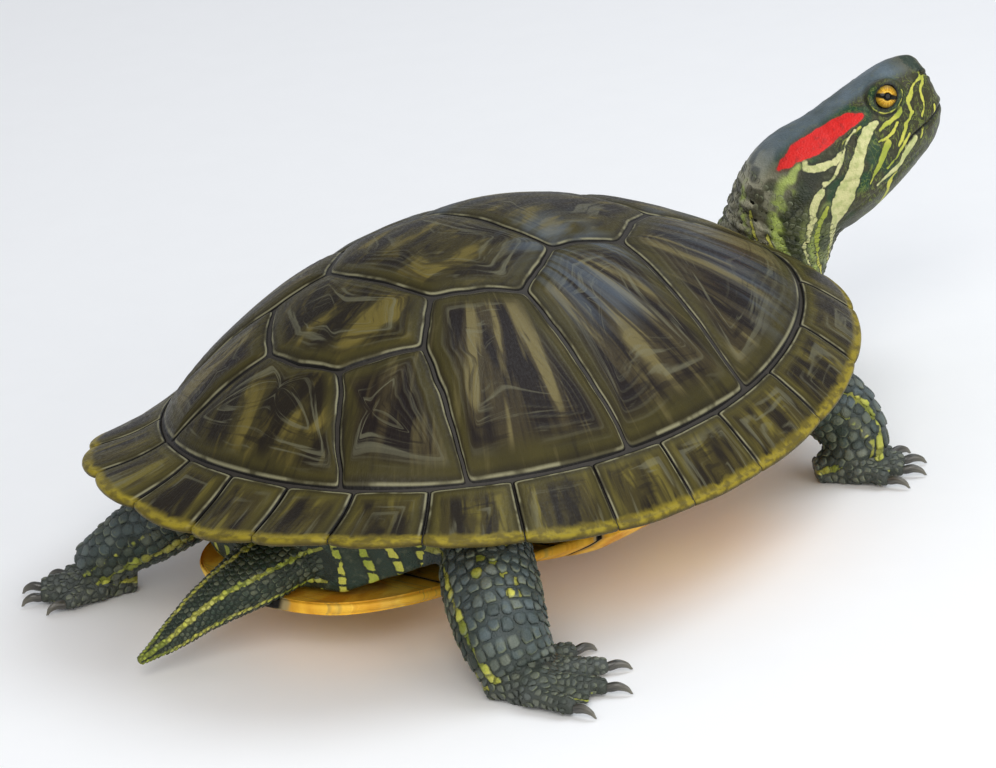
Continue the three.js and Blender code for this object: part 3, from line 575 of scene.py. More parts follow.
class Horn(Shader):
    """Horn plates: dark bars along the grain inside a plainer border, and a worn pale edge line.

    Attributes: grain, millimetres across and along the bars; edge, millimetres to the seam;
    rings, the growth rings' wave; bloom, where a blue-grey reflection of the sky is painted on
    the horn. bars gives the bars to a millimetre across and along the grain, and border where
    the plain border ends.
    """

    def __init__(self, name, base, pale, dark, bars, heart, streaks=1.0, border=(1.6, 5.2)):
        super().__init__(name)
        self.grain = self.attribute("grain", "Vector")
        self.edge = self.attribute("edge")
        across, down = bars
        self.wide = self.grained((across, down, 1), 3.0, 0.6)
        fine = self.grained((across * 2.7, down * 2.4, 1), 4.0, 0.5)
        mottle = self.grained((0.07, 0.07, 1))
        haze = self.grained((across * 1.3, down * 0.8, 1), 4.0, 0.9)
        worn = self.grained((0.13, 0.13, 1))
        curved = self.noise(self.round_the_edge(), 1.0, 3.0, 0.7)
        rings = self.attribute("rings")
        inner = self.step(self.edge, *border)
        between = self.product(inner, self.step(self.edge, 24, 13))

        def streak(value, low, high, strength, where):
            return self.product(self.step(value, low, high, 0, strength * streaks), where)

        worn_line = self.step(worn, 0.4, 0.56, 0.15, 0.8)
        worn_line = self.product(self.step(self.edge, 1.25, 0.75), worn_line)
        self.colour = self.layered(
            self.mix(self.step(mottle, 0.35, 0.68), base, shade(base, 0.74)),
            (self.product(inner, 0.75), heart),
            # broad bars, then fine streaks along the grain
            (streak(self.wide, 0.53, 0.42, 0.96, inner), dark),
            (streak(self.wide, 0.54, 0.63, 0.85, inner), pale),
            (self.step(fine, 0.55, 0.74, 0, 0.4 * streaks), pale),
            (self.step(fine, 0.45, 0.26, 0, 0.6 * streaks), shade(dark, 0.8)),
            # curved streaks and growth rings, concentric with the seam
            (streak(curved, 0.53, 0.66, 0.5, between), RING_LIGHT),
            (streak(curved, 0.45, 0.34, 0.6, between), dark),
            (self.step(rings, 0.6, 1.0, 0, 0.16), RING_LIGHT),
            (self.step(rings, 0.4, 0.0, 0, 0.18), dark),
            # painted reflection: the sky's blue-grey reflection on the shell's upper front, in
            # patches
            (self.product(self.attribute("bloom"), self.step(haze, 0.4, 0.66)), SKY_REFLECTION_BLUE),
            # towards the seam: a dark line of painted shade where the edge rolls down, a worn pale
            # one, and the groove painted black for its shade
            (self.step(self.edge, 2.6, 1.2, 0, 0.5), shade(dark, 0.7)),
            (worn_line, WORN_LINE),
            (self.step(self.edge, 0.72, 0.4), SEAM_SHADE),
        )

    def grained(self, scale, detail=3.0, distortion=0.0):
        """Noise along the grain."""
        return self.noise(self.stretched(self.grain, scale), 1.0, detail, distortion)

    def round_the_edge(self):
        """A place that changes fast towards the seam, so noise at it runs round the plate."""
        grain = self.node("ShaderNodeSeparateXYZ", {"Vector": self.grain}).outputs
        inputs = {
            "X": self.product(grain["X"], 0.05),
            "Y": self.product(grain["Y"], 0.05),
            "Z": self.product(self.edge, 0.42),
        }
        return self.node("ShaderNodeCombineXYZ", inputs).outputs[0]

    def finished(self):
        scratches = self.grained((3.2, 0.5, 1), 4.0)
        pits = self.grained((1.4, 1.4, 1), 4.0)
        normal = self.bump(self.wide, 0.0006, 0.55)
        normal = self.bump(scratches, 0.00016, 0.5, normal)
        self.set(Normal=self.bump(pits, 0.00014, 0.5, normal), Base_Color=self.colour)
        self.set(Roughness=self.step(pits, 0.25, 0.75, 0.34, 0.58))
        self.set(Specular_IOR_Level=0.17, Coat_Weight=0.02, Coat_Roughness=0.2)
        return self.material


OLIVE = srgb(60, 54, 20)
CARAPACE_HORN = Horn(
    "carapace_horn",
    OLIVE,
    srgb(108, 98, 60),
    srgb(18, 9, 6),
    bars=(0.13, 0.022),
    heart=srgb(52, 43, 28),
    border=(3, 8.5),
).finished()
VERTEBRAL_HORN = Horn(
    "vertebral_horn",
    OLIVE,
    srgb(104, 92, 40),
    srgb(24, 17, 6),
    bars=(0.11, 0.045),
    heart=srgb(54, 47, 20),
    border=(2, 6),
).finished()


def rim_horn():
    """The marginals: dark bars on olive, and a yellow band along the edge; rim is 1 at the edge."""
    shader = Horn(
        "rim_horn",
        srgb(74, 67, 24),
        srgb(108, 98, 38),
        srgb(22, 15, 7),
        (0.14, 0.03),
        srgb(56, 48, 20),
        0.95,
    )
    rim = shader.attribute("rim")
    ragged = shader.noise(shader.grain, 0.35, 3.0)
    band = shader.math("ADD", rim, shader.product(ragged, 0.4))
    yellow = shader.mix(shader.step(ragged, 0.4, 0.62), srgb(146, 130, 34), srgb(100, 88, 28))
    blotch = shader.step(shader.noise(shader.grain, 0.16, 3.0), 0.5, 0.56)
    below = shader.mix(blotch, srgb(192, 140, 44), srgb(74, 56, 26))
    shader.colour = shader.layered(
        shader.colour,
        (shader.step(band, 0.98, 1.16, 0, 0.88), yellow),
        (shader.step(rim, 1.15, 1.5, 0, 0.85), srgb(56, 48, 20)),
        (shader.step(shader.attribute("under"), 0.4, 0.6), below),
    )
    return shader.finished()


RIM_HORN = rim_horn()
PLASTRON_HORN = Horn(
    "plastron_horn",
    srgb(248, 192, 58),
    srgb(255, 222, 100),
    srgb(204, 128, 28),
    bars=(0.07, 0.05),
    heart=srgb(240, 186, 60),
    streaks=0.7,
).finished()


def seam_material():
    shader = Shader("seam_horn")
    grit = shader.noise(shader.position(), 900.0, 3.0)
    # painted shade: the bed is near black for the shade in the grooves
    shader.set(Base_Color=shader.mix(grit, srgb(20, 15, 8), srgb(44, 37, 24)))
    shader.set(Normal=shader.bump(grit, 0.0001), Roughness=0.62)
    return shader.material


SEAM_HORN = seam_material()

# ---- carapace scutes -------------------------------------------------------------------------

LOOP_POINTS = 220
SCUTE_RINGS = 54
RING_CROWDING = 1.35  # the mesh's rings lie closer together towards the seam
SKIRT_DEPTHS = (0.8, 1.8)
GROWTH_RING = 2.3  # spacing of the growth rings
GROWTH_RELIEF = 0.07
RINGS_START = (2, 4)  # the rings rise and fade over these distances from the seam
RINGS_END = (9, 19)
SEAM_DIP = 0.75  # how far the horn falls at the seam, and over what width
SEAM_DIP_WIDTH = 0.8
HORN_WAVES = 0.12
HORN_WAVE_SIZE = 7
SMALL_SCALE_SHIFT = 4.0  # the first small scale lies this far behind a scute's middle
LAST_SCALE_SHIFT = 6.0
COSTAL_SCALE_SHIFT = (-3.0, -5.0)
BED_TOP = 1.05  # depths of the bed of the seams below the dome
BED_FLOOR = 2.4


def scute(name, boundary, centre_shift, material, grain_of):
    """A horn plate over an outline in plan, with growth rings round its first small scale."""
    edge = inset(wander(even_loop(boundary, LOOP_POINTS)), SEAM_GAP)
    centre = edge.mean(0) + centre_shift
    shares = 1 - (1 - np.linspace(0, 1, SCUTE_RINGS + 1)[1:]) ** RING_CROWDING
    plan = centre + shares[:, None, None] * (edge - centre)
    reach = np.linalg.norm(edge - centre, axis=1)
    to_edge = (1 - shares)[:, None] * reach
    x, y = plan[..., 0], plan[..., 1]
    flat = columns(x, y, 0)
    ring_wave = np.cos(2 * np.pi * (to_edge / GROWTH_RING + 0.5 * noise(flat, 16, 8)))
    ring_fade = smooth(to_edge, *RINGS_START) * (1 - smooth(to_edge, *RINGS_END))
    ring_fade = ring_fade * smooth(noise(flat, 19, 9), -0.25, 0.45)
    lift = lerp(SCUTE_PILLOW, -SCUTE_EDGE, shares**5)[:, None]
    lift = lift + GROWTH_RELIEF * ring_wave * ring_fade
    lift = lift - SEAM_DIP * np.exp(-to_edge / SEAM_DIP_WIDTH)
    lift = lift + HORN_WAVES * noise(flat, HORN_WAVE_SIZE, 10)
    top = columns(x, y, dome_height(x, y) + lift)
    rings = np.concatenate([top, [top[-1] - [0, 0, depth] for depth in SKIRT_DEPTHS]])
    middle = dome_height(*np.array(centre)[:, None])[0]
    wave_there = noise(np.array([[*centre, 0.0]]), HORN_WAVE_SIZE, 10)[0]
    first_cap = [*centre, middle + SCUTE_PILLOW + HORN_WAVES * wave_there]
    last_cap = [*centre, middle - SCUTE_THICKNESS + 0.5]
    points, faces = ring_solid(rings, first_cap, last_cap)
    wear = np.concatenate([to_edge.ravel(), np.zeros(2 * LOOP_POINTS), [reach.min(), 0]])
    wave = (ring_wave * ring_fade).ravel() / 2 + 0.5
    wave = np.concatenate([wave, np.full(2 * LOOP_POINTS, 0.5), [0.5, 0.5]])
    attributes = {"edge": wear, "rings": wave, "grain": grain_of(points), "bloom": bloom(points)}
    place(new_object("horn_" + name, points, faces, attributes), material, "carapace", name)


def bloom(points):
    """Painted reflection: a blue-grey reflection of the sky lies on the shell's upper front."""
    _, share = dome_place(points[:, 0], points[:, 1])
    forward = smooth(points[:, 0] - 12 * share, -62, 42)
    patches = smooth(noise(points, 30, 15), -0.5, 0.4)
    return forward * (1 - smooth(share, 0.62, 0.95)) * patches * 0.85


def radial_grain(seed):
    """Grain of a costal: streaks run down from the top of the dome to the rim."""

    def grain(points):
        angle, share = dome_place(points[:, 0], points[:, 1])
        turned = np.unwrap(angle - angle[0]) + angle[0]
        return columns(turned * 72, share * 85, seed)

    return grain


def middle_grain(seed):
    """Grain of a vertebral: streaks run along the back."""
    return lambda points: columns(points[:, 1], points[:, 0], seed)


def build_carapace():
    for i in range(5):
        shift = np.array([-SMALL_SCALE_SHIFT if i < 4 else LAST_SCALE_SHIFT, 0])
        grain = middle_grain(7.0 * i)
        scute(f"vertebral_{i + 1}", vertebral_outline(i), shift, VERTEBRAL_HORN, grain)
    for i in range(4):
        outline_left = costal_outline(i)
        for side, sign in SIDES:
            shift = np.array(COSTAL_SCALE_SHIFT) * (1, sign)
            grain = radial_grain(31.0 + 7 * i + 3 * sign)
            name = f"costal_{i + 1}_{side}"
            scute(name, outline_left * (1, sign), shift, CARAPACE_HORN, grain)


def build_seam_bed():
    """The layer that shows in the grooves between the scutes, dark as painted shade."""
    angle = np.linspace(0, 2 * np.pi, 240, endpoint=False)
    shares = np.concatenate([np.linspace(0.02, 0.8, 40), np.linspace(0.81, 0.905, 8)])
    top = [dome_point(angle, share) - [0, 0, BED_TOP] for share in shares]
    below = [dome_point(angle, share) - [0, 0, BED_FLOOR] for share in shares[::-1]]
    place(new_object("seam_bed", *ring_solid(top + below)), SEAM_HORN, "carapace")


# ---- marginals -------------------------------------------------------------------------------

TOP_POINTS = 30
NOSE_POINTS = 7
UNDER_POINTS = 16
PLACES = 44
RING_CLEARANCE = 0.0035  # the ring starts this share of the radius outside the scutes
RING_DEGREE = 1.66  # millimetres of grain to a degree of the ring
RING_BAND = 14.5  # millimetres of grain from the ring's inner edge to the rim
RIM_DIP = 0.55
RIM_WAVES = 0.1
RIM_RADIUS = 95  # the ring's mean radius
MARGINAL_GAP = 0.75 * SEAM_GAP
MARGINAL_DIP = 0.6
MARGINAL_DIP_WIDTH = 0.9
MARGINAL_RINGS = 2.4  # spacing of the growth rings
TOOTH_SKEW = (0.72, 0.56)  # a tooth is highest near a marginal's rear end


def flare(degrees):
    lost = REAR_MIDDLE_LOSS * smooth(degrees, 160, 180)
    return REAR_FLARE * smooth(degrees, 112, 156) * (1 - lost)


def rim_section(degrees, side, tooth, sunk, pillow, thinner=0.0):
    """One section through the ring: over the top, round the edge and back below."""
    angle = side * np.radians(degrees)
    outwards = np.array([math.cos(angle), math.sin(angle), 0])

    def surface(share):
        point = dome_point(angle, lerp(RING_INNER + RING_CLEARANCE, 1, share))
        point = point + ((flare(degrees) + tooth) * share**FLARE_POWER)[:, None] * outwards
        point[:, 2] += REAR_UPTURN * flare(degrees) * share**FLARE_POWER
        return point

    share = np.linspace(0, 1, TOP_POINTS)
    top = surface(share)
    swell = lerp(pillow, -0.1, np.abs(2 * share - 1) ** 3) - RIM_DIP * np.exp(-share / 0.045)
    top[:, 2] += swell - sunk - thinner
    back = share[::-1][::2][:UNDER_POINTS]
    below = surface(back)
    below[:, 2] -= lerp(RIM_THICKNESS, RIM_EDGE_THICKNESS, back**3) - thinner
    turn = np.linspace(0, np.pi, NOSE_POINTS + 2)[1:-1]
    middle = (top[-1] + below[0]) / 2
    radius = (top[-1] - below[0]) / 2
    nose = middle + np.cos(turn)[:, None] * radius
    nose = nose + np.sin(turn)[:, None] * (RIM_NOSE - sunk - thinner) * outwards
    return np.vstack([top, nose, below])


def marginal(start, end, side, seed):
    """One marginal plate between two seams, in degrees from straight ahead."""
    arc = np.radians(end - start) * RIM_RADIUS
    margin = MARGINAL_GAP / arc
    places = lerp(margin, 1 - margin, crowded(PLACES, 0.4))
    degrees = lerp(start, end, places)
    serration = lerp(FRONT_SERRATION, SERRATION, smooth(degrees, 100, 150))
    skew = TOOTH_SKEW[0] + TOOTH_SKEW[1] * places
    tooth = serration * (np.sin(np.pi * places) ** 0.6) * skew
    to_seam = np.minimum(places, 1 - places) * arc
    sunk = MARGINAL_DIP * np.exp(-to_seam / MARGINAL_DIP_WIDTH)
    pillow = 0.25 + 0.45 * (1 - np.abs(2 * places - 1) ** 4)
    sections = zip(degrees, tooth, sunk, pillow)
    rings = np.array([rim_section(at, side, *section) for at, *section in sections])
    sides = rings.shape[1]
    top, nose = slice(0, TOP_POINTS), slice(TOP_POINTS, TOP_POINTS + NOSE_POINTS)
    share = np.linspace(0, 1, TOP_POINTS)
    rim, under = np.zeros(sides), np.zeros(sides)
    rim[top], rim[nose] = share**2.2, np.linspace(1, 1.7, NOSE_POINTS)
    under[nose.stop :] = 1
    ring_gap, ring_place = np.full(sides, 9.0), np.full(sides, 9.0)
    ring_gap[top] = share * RING_BAND
    ring_place[top], ring_place[nose] = 3 + share * 9, 12
    edge = np.minimum(to_seam[:, None], ring_gap)
    wave = np.cos(2 * np.pi * np.minimum(to_seam[:, None], ring_place) / MARGINAL_RINGS)
    rings[..., 2] += np.where(under > 0, 0, RIM_WAVES * noise(rings, 5, 14))
    points, faces = ring_solid(rings)
    along_ring = (degrees * side * RING_DEGREE)[:, None]
    grain = columns(along_ring, np.linspace(0, 30, sides), seed).reshape(-1, 3)
    values = {"edge": edge, "rings": 0.5 + 0.12 * wave * smooth(edge, 0.8, 2.4)}
    values |= {"rim": rim, "under": under, "bloom": 0.0}
    values = {
        key: np.append(np.broadcast_to(value, edge.shape), [0, 0])
        for key, value in values.items()
    }
    return points, faces, values | {"grain": np.vstack([grain, grain[:1], grain[-1:]])}


def build_marginals():
    for side, sign in SIDES:
        for group, first, last in RIM_GROUPS:
            plates = [
                marginal(MARGINAL_SEAMS[i], MARGINAL_SEAMS[i + 1], sign, 13.0 * i + 5 * sign)
                for i in range(first, last)
            ]
            rim_piece(f"marginals_{group}_{side}", plates)
    rim_piece("nuchal", [marginal(-MARGINAL_SEAMS[0], MARGINAL_SEAMS[0], 1, 99.0)])


def build_rim_bed():
    """The layer in the grooves between the marginals, dark as painted shade."""
    bed = [
        rim_section(abs(degrees), math.copysign(1, degrees), FRONT_SERRATION, 0.5, 0.2, 0.5)
        for degrees in np.linspace(-180, 180, 241)[:-1]
    ]
    place(new_object("rim_bed", *torus(np.array(bed))), SEAM_HORN, "marginals")


def torus(rings):
    """Points and faces of rings joined end to end."""
    count, sides = rings.shape[:2]
    i, j = np.meshgrid(np.arange(count), np.arange(sides), indexing="ij")
    ahead, beside = (i + 1) % count, (j + 1) % sides
    corners = [i * sides + j, i * sides + beside, ahead * sides + beside, ahead * sides + j]
    return rings.reshape(-1, 3), np.stack(corners, -1).reshape(-1, 4).tolist()


def rim_piece(name, plates):
    points, faces = merged([plate[:2] for plate in plates])
    keys = plates[0][2]
    attributes = {key: np.concatenate([plate[2][key] for plate in plates]) for key in keys}
    piece = new_object("horn_" + name, points, faces, attributes)
    place(piece, RIM_HORN, "marginals", name)


# ---- plastron --------------------------------------------------------------------------------

PLASTRON_STATIONS = 40
PLASTRON_ACROSS = 44
PLASTRON_SEAM_GAP = 0.12
PLASTRON_DIP = 0.45  # how far the horn sinks at its seams
PLASTRON_SKIN = 0.1  # the horn lies this far inside the solid, above and below
PLASTRON_PIECES = tuple("horn_" + name for name, _, _ in PLASTRON_SCUTES)


def plastron_half_width(x):
    share = np.minimum(np.abs(x) / PLASTRON_HALF_LENGTH, 1)
    return PLASTRON_HALF_WIDTH * (1 - share**PLASTRON_POWER) ** (1 / PLASTRON_POWER)


def bridge_share(x):
    behind = smooth(x, BRIDGE_REAR - BRIDGE_BLEND, BRIDGE_REAR + BRIDGE_BLEND)
    return behind * (1 - smooth(x, BRIDGE_FRONT - BRIDGE_BLEND, BRIDGE_FRONT + BRIDGE_BLEND))


def plastron_lift(x):
    beyond = (np.abs(x) - PLASTRON_FLAT) / (PLASTRON_HALF_LENGTH - PLASTRON_FLAT)
    return PLASTRON_UPTURN * np.clip(beyond, 0, 1)


def plastron_rows(x):
    """The plastron's lower side at x: widths and rises at five places, and the edge's thickness."""
    bridge = float(bridge_share(x))
    edge = max(float(plastron_half_width(x)), PLASTRON_TIP) + BRIDGE_SPREAD * bridge
    bridge_end = BRIDGE_REACH * outline(math.acos(x / HALF_LENGTH))[1]
    reach = max(bridge_end - edge, 0) * bridge
    widths = [0.2, edge * 0.55, edge * 0.92, edge + reach * 0.4, edge + reach]
    rise = [0, 0, 0.25 * PLASTRON_EDGE_RISE, PLASTRON_EDGE_RISE + BRIDGE_RISE * 0.3 * bridge]
    rise.append(PLASTRON_EDGE_RISE + BRIDGE_RISE * bridge)
    if reach < 0.5:
        widths[3], rise[3] = edge * 0.97, 1.2
    return widths, rise, bridge


def plastron_scute(name, front, rear, side):
    gap = PLASTRON_SEAM_GAP
    t = np.linspace(0, 1, PLASTRON_ACROSS)
    edge_share = smooth(t, 0.6, 0.75)
    rings, edges = [], []
    for share in crowded(PLASTRON_STATIONS, 0.5):
        x = lerp(front - gap, rear + gap, share)
        widths, rise, bridge = plastron_rows(x)
        y, z = along(widths, t), along(rise, t)
        to_seam = min(abs(front - x), abs(x - rear), 9)
        sunk = PLASTRON_DIP * np.exp(-to_seam / 0.55) + PLASTRON_DIP * np.exp(-y / 0.6)
        bottom = PLASTRON_Z + plastron_lift(x) + z
        relief = 0.12 * noise(columns(x, side * y, z), 6, 21)
        below = columns(x, side * y, bottom + sunk + relief + PLASTRON_SKIN)
        edge_thickness = lerp(PLASTRON_EDGE_THICKNESS, PLASTRON_THICKNESS, bridge)
        top = bottom + lerp(PLASTRON_THICKNESS, edge_thickness, edge_share) - PLASTRON_SKIN
        above = columns(x, side * (y - BRIDGE_LEAN * bridge * edge_share), top)
        nose = (below[-1] + above[-1]) / 2 + [0, side * 0.5, 0]
        rings.append(np.vstack([below, nose, above[::-1]]))
        edges.append(np.minimum(to_seam, np.concatenate([y, [9], y[::-1]]) - 0.15))
    points, faces = folded_solid(rings)
    attributes = {
        "edge": np.clip(np.ravel(edges), 0, 9) * 1.6,
        "rings": np.full(len(points), 0.5),
        "grain": points[:, [1, 0, 2]] * (1, 1, 0) + (0, 0, 50 + 3 * side),
    }
    piece = new_object("horn_" + name, points, faces, attributes)
    place(piece, PLASTRON_HORN, "plastron", name)


def build_plastron():
    for name, front, rear in PLASTRON_SCUTES:
        for side, sign in SIDES:
            plastron_scute(f"{name}_{side}", front, rear, sign)

# ---- the flesh: tubes and where they run -----------------------------------------------------

SKIN_DEPTH = 0.3  # the skin lies this far inside the solids
VOXEL = 0.62

# A leg's rows are x, y, z, half width and half height. Its foot has the heel's place, a heading in
# degrees, a pad (length, half width, thickness), toes (count, length and the degrees they spread
# over) and the claws' length. The stripes lie on the leg's stripe_side, and at sole_stripe degrees.
LEGS = {
    "hind_right": {
        "rows": [
            (-42, -32, 30, 15, 12),
            (-57, -46, 27, 15.5, 12),
            (-68.5, -58.5, 21, 14.5, 12.5),
            (-75, -68, 13, 12, 11.5),
            (-76, -73, 6, 10, 10),
        ],
        "heel": (-80, -68.5),
        "heading": -49,
        "pad": (16.5, 13.5, 7),
        "toes": (4, 12, 62),
        "claw": 5.8,
        "web": True,
        "stripe_side": (-0.94, 0.2, 0.27),
        "sole_stripe": 163,
    },
    "hind_left": {
        "rows": [
            (-48, 32, 30, 14, 11),
            (-66, 42, 27, 13.5, 11),
            (-80, 51, 20.5, 10.5, 9.5),
            (-87, 61, 13.5, 8.2, 7.8),
            (-91, 69, 7, 7.8, 6.2),
        ],
        "heel": (-85, 62),
        "heading": 137,
        "pad": (15, 9, 5.6),
        "toes": (4, 8.6, 48),
        "claw": 5,
        "web": True,
        "stripe_side": (-0.65, -0.52, -0.55),
        "sole_stripe": 17,
    },
    "front_right": {
        "rows": [
            (50, -34, 30, 12, 11),
            (64, -45, 28, 11.5, 11),
            (75, -53, 21, 10.2, 10.5),
            (78, -58, 12, 9, 9.5),
            (77, -59, 6, 8.5, 9),
        ],
        "heel": (70, -54),
        "heading": -38,
        "pad": (15, 10, 6.5),
        "toes": (5, 7, 74),
        "claw": 5.8,
        "web": False,
        "stripe_side": (0.05, -0.85, 0.1),
        "sole_stripe": 163,
    },
    "front_left": {
        "rows": [
            (50, 34, 30, 12, 11),
            (66, 46, 28, 12, 11),
            (80, 56, 21, 11, 10.5),
            (86, 61, 12, 9, 9.5),
            (87, 62, 6, 8.5, 9),
        ],
        "heel": (80, 57),
        "heading": 33,
        "pad": (15, 10, 6.5),
        "toes": (5, 7, 74),
        "claw": 5.8,
        "web": False,
        "stripe_side": (0.05, 0.85, 0.1),
        "sole_stripe": 17,
    },
}
TAIL = [  # x, y, z, half width, half height
    (-66, -3, 29, 16, 8),
    (-83, -4, 28, 15.5, 8),
    (-96, -1, 23, 11, 7.8),
    (-107, 6, 16.5, 6.6, 6),
    (-116, 11, 10.5, 4.2, 3.8),
    (-124.5, 14.8, 6, 1.5, 1.5),
]
HEAD_PROFILE = [  # from the snout's tip: x, half width, top, bottom, squareness
    (0, 3.4, 10.9, -4.2, 2.2),
    (-1.4, 5.4, 12.7, -7.0, 2.3),
    (-4, 7.6, 14.0, -10.2, 2.3),
    (-8, 9.8, 14.7, -12.8, 2.3),
    (-13, 12.2, 14.9, -14.8, 2.3),
    (-19, 14.8, 14.5, -16.8, 2.25),
    (-26, 16.9, 13.7, -18.7, 2.15),
    (-33, 17.2, 13.2, -20.3, 2.1),
    (-39, 16.4, 13.0, -21.0, 2.05),
    (-HEAD_LENGTH, 16, 13.0, -21.0, 2),
]
TOE_RADIUS = 2.5
TOE_Z = 3.4
TOE_OVERLAP = 2
TOE_TIP = 0.4
CLAW_Z = 2.4
CLAW_RADIUS = 1.45
CLAW_GAP = 0.3
TOE_COAT = 0.1
TRUNK_SIDES = 96
BALL_RINGS = 16
BALL_SIDES = 24
UPWARDS = (0, 0, 1)

HEAD_TURN = np.array(
    Matrix.Rotation(math.radians(HEAD_YAW), 3, "Z")
    @ Matrix.Rotation(math.radians(-HEAD_PITCH), 3, "Y")
    @ Matrix.Rotation(math.radians(HEAD_ROLL), 3, "X")
)


def in_shell(points):
    """From the head's own frame, which has the snout's tip as its origin, to the shell's."""
    return np.asarray(points, float) @ HEAD_TURN.T + HEAD_AT


def in_head(points):
    return (np.asarray(points, float) - HEAD_AT) @ HEAD_TURN


def signed_power(value, power):
    return np.sign(value) * np.abs(value) ** power


class Tube:
    """Sections w wide and h high to each side of a centreline, the skin's depth inside the solid.

    power shapes the sections: 1 is an ellipse, and less is squarer.
    """

    def __init__(self, centres, side, up, w, h, power):
        self.centres, self.side, self.up = centres, side, up
        self.w, self.h, self.power = w - SKIN_DEPTH, h - SKIN_DEPTH, power
        self.tangent = np.cross(side, up)
        self.length = path_length(centres)

    def at(self, values, rows):
        """The values at row numbers, with fractions."""
        numbers = np.arange(len(self.w))
        if values.ndim == 1:
            return np.interp(rows, numbers, values)
        return np.stack([np.interp(rows, numbers, column) for column in values.T], -1)

    def surface(self, rows, angles):
        """Points at those row numbers along the tube and angles round it."""
        w, h, power = (self.at(values, rows) for values in (self.w, self.h, self.power))
        centre, side, up = (self.at(axes, rows) for axes in (self.centres, self.side, self.up))
        out = (w * signed_power(np.cos(angles), power))[..., None] * side
        return centre + out + (h * signed_power(np.sin(angles), power))[..., None] * up

    def rings(self, sides):
        rows = np.arange(len(self.w), dtype=float)[:, None] + np.zeros(sides)
        return self.surface(rows, np.broadcast_to(circle(sides), rows.shape))


def tube_through(rows, over, steps=40):
    """A tube through rows of (x, y, z, w, h); over is the side that its h points to."""
    rows = np.asarray(rows, float)
    t = np.linspace(0, 1, steps + 1)
    centres = centripetal(rows[:, :3], t)
    tangent = unit(np.gradient(centres, axis=0))
    side = unit(np.cross(np.asarray(over, float), tangent))
    w, h = along(rows[:, 3], t), along(rows[:, 4], t)
    return Tube(centres, side, np.cross(tangent, side), w, h, np.ones(len(t)))


def rows_from(start, direction, stations, radius=1.0, coat=0.0):
    """Rows of a tube that runs from start, of stations (distance, z, w, h) in that radius."""
    return [
        (*(start + direction * distance)[:2], z, w * radius + coat, h * radius + coat)
        for distance, z, w, h in stations
    ]


def head_tube():
    profile = np.array(HEAD_PROFILE)
    t = np.linspace(0, 1, 61)
    place_along, numbers = t * (len(profile) - 1), np.arange(len(profile))
    x = np.interp(place_along, numbers, profile[:, 0])
    z = np.interp(place_along, numbers, profile[:, 2:4].mean(1))
    side, up = (np.tile(HEAD_TURN[:, axis], (len(t), 1)) for axis in (1, 2))
    w, h = along(profile[:, 1], t), along((profile[:, 2] - profile[:, 3]) / 2, t)
    return Tube(in_shell(columns(x, 0, z)), side, up, w, h, 2 / along(profile[:, 4], t))


def direction_of(degrees):
    turn = math.radians(degrees)
    return np.array([math.cos(turn), math.sin(turn), 0.0])


def toe_places(foot):
    """The toes' roots, directions and lengths, spread over the end of the foot's pad."""
    length, width, _ = foot["pad"]
    count, toe_length, fan = foot["toes"]
    forward = direction_of(foot["heading"])
    left = np.array([-forward[1], forward[0], 0])
    places = []
    for i in range(count):
        share = 2 * i / (count - 1) - 1
        root = np.array([*foot["heel"], TOE_Z])
        root += forward * (length * (1 - 0.3 * share**2) - TOE_OVERLAP)
        root += left * share * (width - TOE_RADIUS)
        direction = direction_of(foot["heading"] + share * fan / 2)
        places.append((root, direction, toe_length * (1 - 0.22 * share**2) + TOE_OVERLAP))
    return places


def toe_tube(root, direction, reach):
    """A toe with two low knuckles."""
    stations = [
        (-3, TOE_Z, 1.12, 1.2),
        (reach * 0.28, TOE_Z + 0.15, 1.0, 1.08),
        (reach * 0.5, TOE_Z, 0.95, 0.98),
        (reach * 0.76, TOE_Z - 0.35, 1.0, 1.02),
        (reach, CLAW_Z, 0.8, 0.84),
        (reach + TOE_TIP, CLAW_Z, 0.5, 0.5),
    ]
    return tube_through(rows_from(root, direction, stations, TOE_RADIUS, TOE_COAT), UPWARDS, 18)


def pad_tube(foot):
    """The sole and back of a foot, with the web between a hind foot's toes."""
    length, width, thickness = foot["pad"]
    stations = [
        (-3, 3, width * 0.42, 3.5),
        (length * 0.3, 4, width * 0.72, thickness),
        (length * 0.75, 3, width, thickness * 0.7),
        (length, 2.6, width * 0.98, 3),
    ]
    if foot["web"]:
        stations.append((length + foot["toes"][1] * 0.55, 1.8, width * 1.05, 1.3))
    heel = np.array([*foot["heel"], 0.0])
    return tube_through(rows_from(heel, direction_of(foot["heading"]), stations), UPWARDS, 24)


def neck_rows():
    rows = [
        (72, 0, 30, 16, 10.5),
        (93, 0, 29.5, 15.5, 10.5),
        (108, 0.5, 32, 18, 12.5),
        (116.3, 0.4, 42, 20, 14),
    ]
    for x, z, w, h in [(-HEAD_LENGTH - 4, -3.9, 16.6, 17.2), (-HEAD_LENGTH + 8, -3.4, 16, 17)]:
        rows.append((*in_shell((x, 0, z)), w, h))
    return rows


def build_tubes():
    tubes = {"head": head_tube(), "neck": tube_through(neck_rows(), (-0.6, 0, 1), 60)}
    tubes["tail"] = tube_through(TAIL, UPWARDS, 50)
    for name, foot in LEGS.items():
        tubes["leg_" + name] = tube_through(foot["rows"], direction_of(foot["heading"]))
        tubes["pad_" + name] = pad_tube(foot)
        for i, toe in enumerate(toe_places(foot)):
            tubes[f"toe_{name}_{i + 1}"] = toe_tube(*toe)
    return tubes


TUBES = build_tubes()
TUBE_NAMES = list(TUBES)


